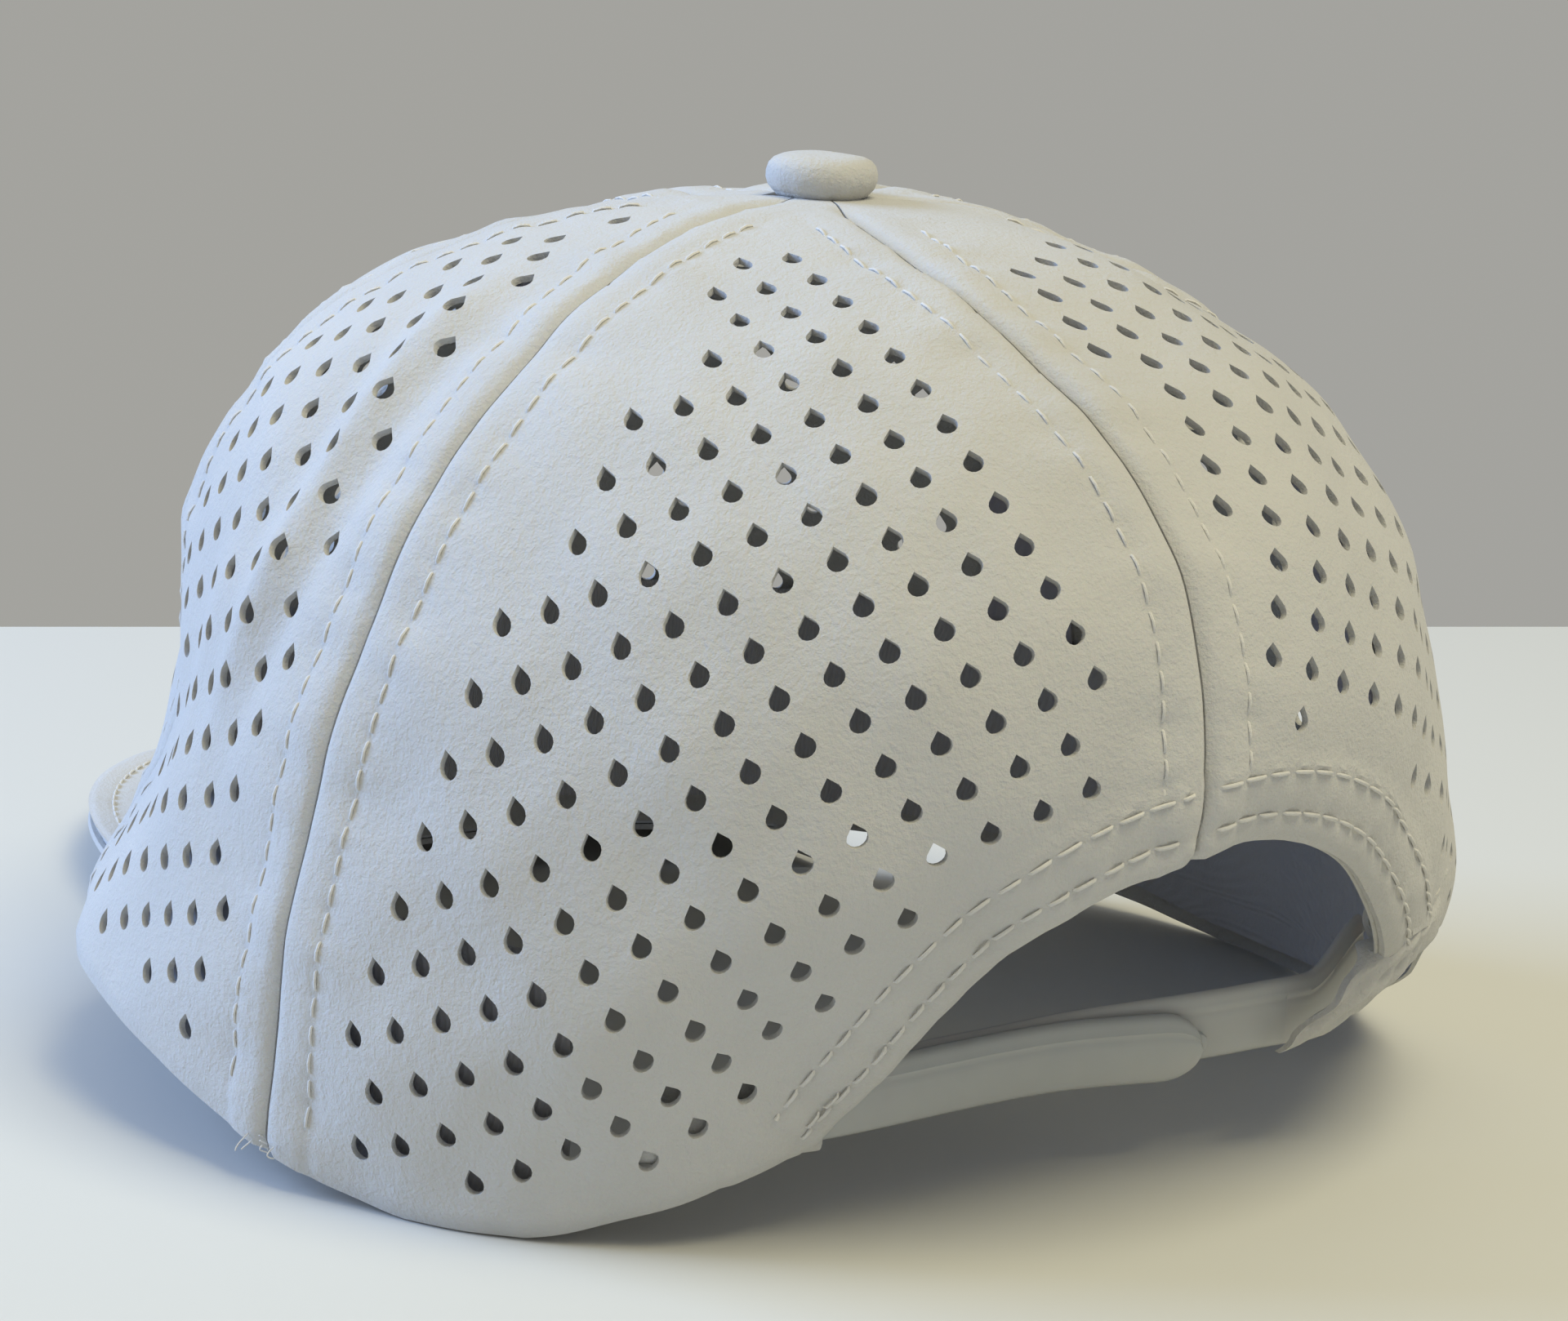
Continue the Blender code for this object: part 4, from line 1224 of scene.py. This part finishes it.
def visor():
    half = VISOR_BOARD / 2
    face = half + VISOR_GAP + VISOR_COVER
    us = np.linspace(-1.0, 1.0, 81)
    vs = np.concatenate([np.linspace(0.0, 0.85, 22), np.linspace(0.87, 1.0, 14)])
    for name, sign in (("top", 1.0), ("under", -1.0)):
        outer, inner = [], []
        stitched = []
        for u in us:
            length = np.linalg.norm(visor_point(u, 1.0, 0.0, 0.0) - visor_point(u, 0.0, 0.0, 0.0))
            line_out, line_in = [], []
            for v in vs:
                from_rim = (1.0 - v) * length
                groove = 0.00022 * bell(from_rim, VISOR_STITCH_INSET, 0.0009)
                rounding = 0.00042 * math.exp(-((from_rim / 0.0009) ** 2))
                wave = 0.00012 * math.sin(38.0 * u + 9.0 * v) * smooth(0.0, 0.2, v)
                far = face - groove - rounding + wave * 0.5
                line_out.append(visor_point(u, v, 0.0004, sign * far))
                line_in.append(visor_point(u, v, 0.0008, sign * (half + 0.0002 - rounding * 0.6)))
            outer.append(line_out)
            inner.append(line_in)
            stitched.append(visor_point(u, 1.0 - VISOR_STITCH_INSET / length, 0.0, sign * face))
        piece = grid_shell(f"visor_{name}_cloth", outer, inner, MATERIALS["microfibre"])
        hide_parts(f"visor_{name}_cover")
        up = np.tile((0.0, 0.0, sign), (len(us) - 8, 1))
        row = stitch_row(np.array(stitched[4:-4]) - up * 0.00008, up)
        threads_piece(f"visor_{name}_stitches", [row])


def button():
    """Cloth drawn over the button's dome and gathered under its edge."""
    middle = np.array((0.0, APEX_SHIFT_Y, CROWN_HEIGHT)) + CROWN_PLACE
    r, h = BUTTON_RADIUS, BUTTON_HEIGHT + 0.0002
    profile = [(0.0, h), (r * 0.30, h * 0.998), (r * 0.55, h * 0.985), (r * 0.74, h * 0.95),
               (r * 0.87, h * 0.87), (r * 0.955, h * 0.74), (r * 0.995, h * 0.56),
               (r * 0.995, h * 0.38), (r * 0.95, h * 0.20), (r * 0.87, h * 0.08), (r * 0.76, h * 0.01)]
    profile = np.array(profile)
    turns = np.linspace(0.0, 2 * math.pi, 97)[:-1]
    outer, inner = [], []
    for reach, rise in profile:
        low = max(0.0, 1.0 - rise / (h * 0.5))
        pleat = 1.0 + 0.012 * low * np.sin(14 * turns + 0.8 * np.sin(3 * turns))
        uneven = 1.0 + 0.010 * np.sin(2 * turns + 0.7) * (reach / r)
        size = max(reach, 1e-5) * pleat * uneven
        ring = np.stack([size * np.cos(turns), size * np.sin(turns), np.full(len(turns), rise)], axis=1)
        ring[:, 2] += 0.00010 * np.sin(3 * turns + 1.0) * (reach / r)
        outer.append(middle + ring)
        slim = ring * (1.0 - 0.0006 / r)
        slim[:, 2] = ring[:, 2] - 0.00055
        inner.append(middle + slim)
    piece = grid_shell("button_cloth", outer, inner, MATERIALS["microfibre"], closed=True)
    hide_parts("button_cover")


def carried_nodes():
    """CAD pieces that are kept as they are, with their real finish."""
    finishes = {"visor_board": "board", "button_shell": "metal", "button_washer": "metal"}
    for name, material in finishes.items():
        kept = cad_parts[name]
        kept.data.materials.clear()
        kept.data.materials.append(MATERIALS[material])


panels()
seam_stitches()
hem_stitches()
seam_tapes()
sweatband()
opening_facing()
straps()
left_sleeve()
right_sleeve()
hem_roll()
seam_end_threads()
visor()
button()
carried_nodes()


# ---------------------------------------------------------------- stage
TABLE_TURN = 19.4
TABLE_EDGE = 0.2532
CAMERA_STAND = 35.09
CAMERA_REACH = 0.5123
CAMERA_HEIGHT = 0.1717
CAMERA_FACING = 34.74
CAMERA_PITCH = 12.985
CAMERA_ROLL = 3.4
CAMERA_LENS = 93.17
SENSOR_WIDTH = 36.0


def studio():
    """A table top whose far edge runs behind the cap."""
    turn = math.radians(TABLE_TURN)
    out = Vector((math.sin(turn), math.cos(turn), 0.0))
    along = Vector((out.y, -out.x, 0.0))
    edge = Vector(CROWN_PLACE) - out * TABLE_EDGE
    left, right = edge + along * 3, edge - along * 3
    corners = [left, left + out * 4, right + out * 4, right]
    table = bpy.data.meshes.new("table")
    table.from_pydata([tuple(corner) for corner in corners], [], [(0, 1, 2, 3)])
    table.materials.append(stage_material("table_pale", (0.66, 0.66, 0.63), 0.6))
    table_object = bpy.data.objects.new("table", table)
    bpy.context.scene.collection.objects.link(table_object)


def area_light(name, place, target, size, power, color):
    data = bpy.data.lights.new(name, "AREA")
    data.shape = "RECTANGLE"
    data.size, data.size_y = size
    data.energy = power
    data.color = color
    light = bpy.data.objects.new(name, data)
    light.location = place
    light.rotation_euler = (Vector(target) - Vector(place)).to_track_quat("-Z", "Y").to_euler()
    bpy.context.scene.collection.objects.link(light)


def camera():
    facing, pitch, roll, stand = map(
        math.radians, (CAMERA_FACING, CAMERA_PITCH, CAMERA_ROLL, CAMERA_STAND)
    )
    place = Vector((CAMERA_REACH * math.sin(stand), CAMERA_REACH * math.cos(stand), CAMERA_HEIGHT))
    level = math.cos(pitch)
    back = Vector((math.sin(facing) * level, math.cos(facing) * level, math.sin(pitch)))
    data = bpy.data.cameras.new("camera")
    data.lens, data.sensor_width = CAMERA_LENS, SENSOR_WIDTH
    data.clip_start, data.clip_end = 0.01, 20.0
    made = bpy.data.objects.new("camera", data)
    made.rotation_mode = "QUATERNION"
    right = Vector((0, 0, 1)).cross(back).normalized()
    up = back.cross(right)
    across = right * math.cos(roll) + up * math.sin(roll)
    above = up * math.cos(roll) - right * math.sin(roll)
    turned = [[across[k], above[k], back[k]] for k in range(3)]
    made.rotation_quaternion = Matrix(turned).to_quaternion()
    made.location = place + Vector(CROWN_PLACE)
    bpy.context.scene.collection.objects.link(made)
    bpy.context.scene.camera = made


def lighting():
    world = bpy.data.worlds.new("room")
    world.use_nodes = True
    fill(world.node_tree.nodes["Background"], {"Color": (1.0, 0.99, 0.93, 1.0), "Strength": 0.37})
    bpy.context.scene.world = world
    middle = (0.0, 0.03, 0.06)
    area_light("window", (0.85, -0.70, 0.55), middle, (0.7, 0.7), 18.5, (0.38, 0.58, 1.0))
    area_light("room_light", (-0.15, 0.55, 1.40), middle, (0.8, 0.8), 14.0, (1.0, 0.92, 0.63))
    bpy.context.scene.view_settings.view_transform = "Standard"


studio()
camera()
lighting()
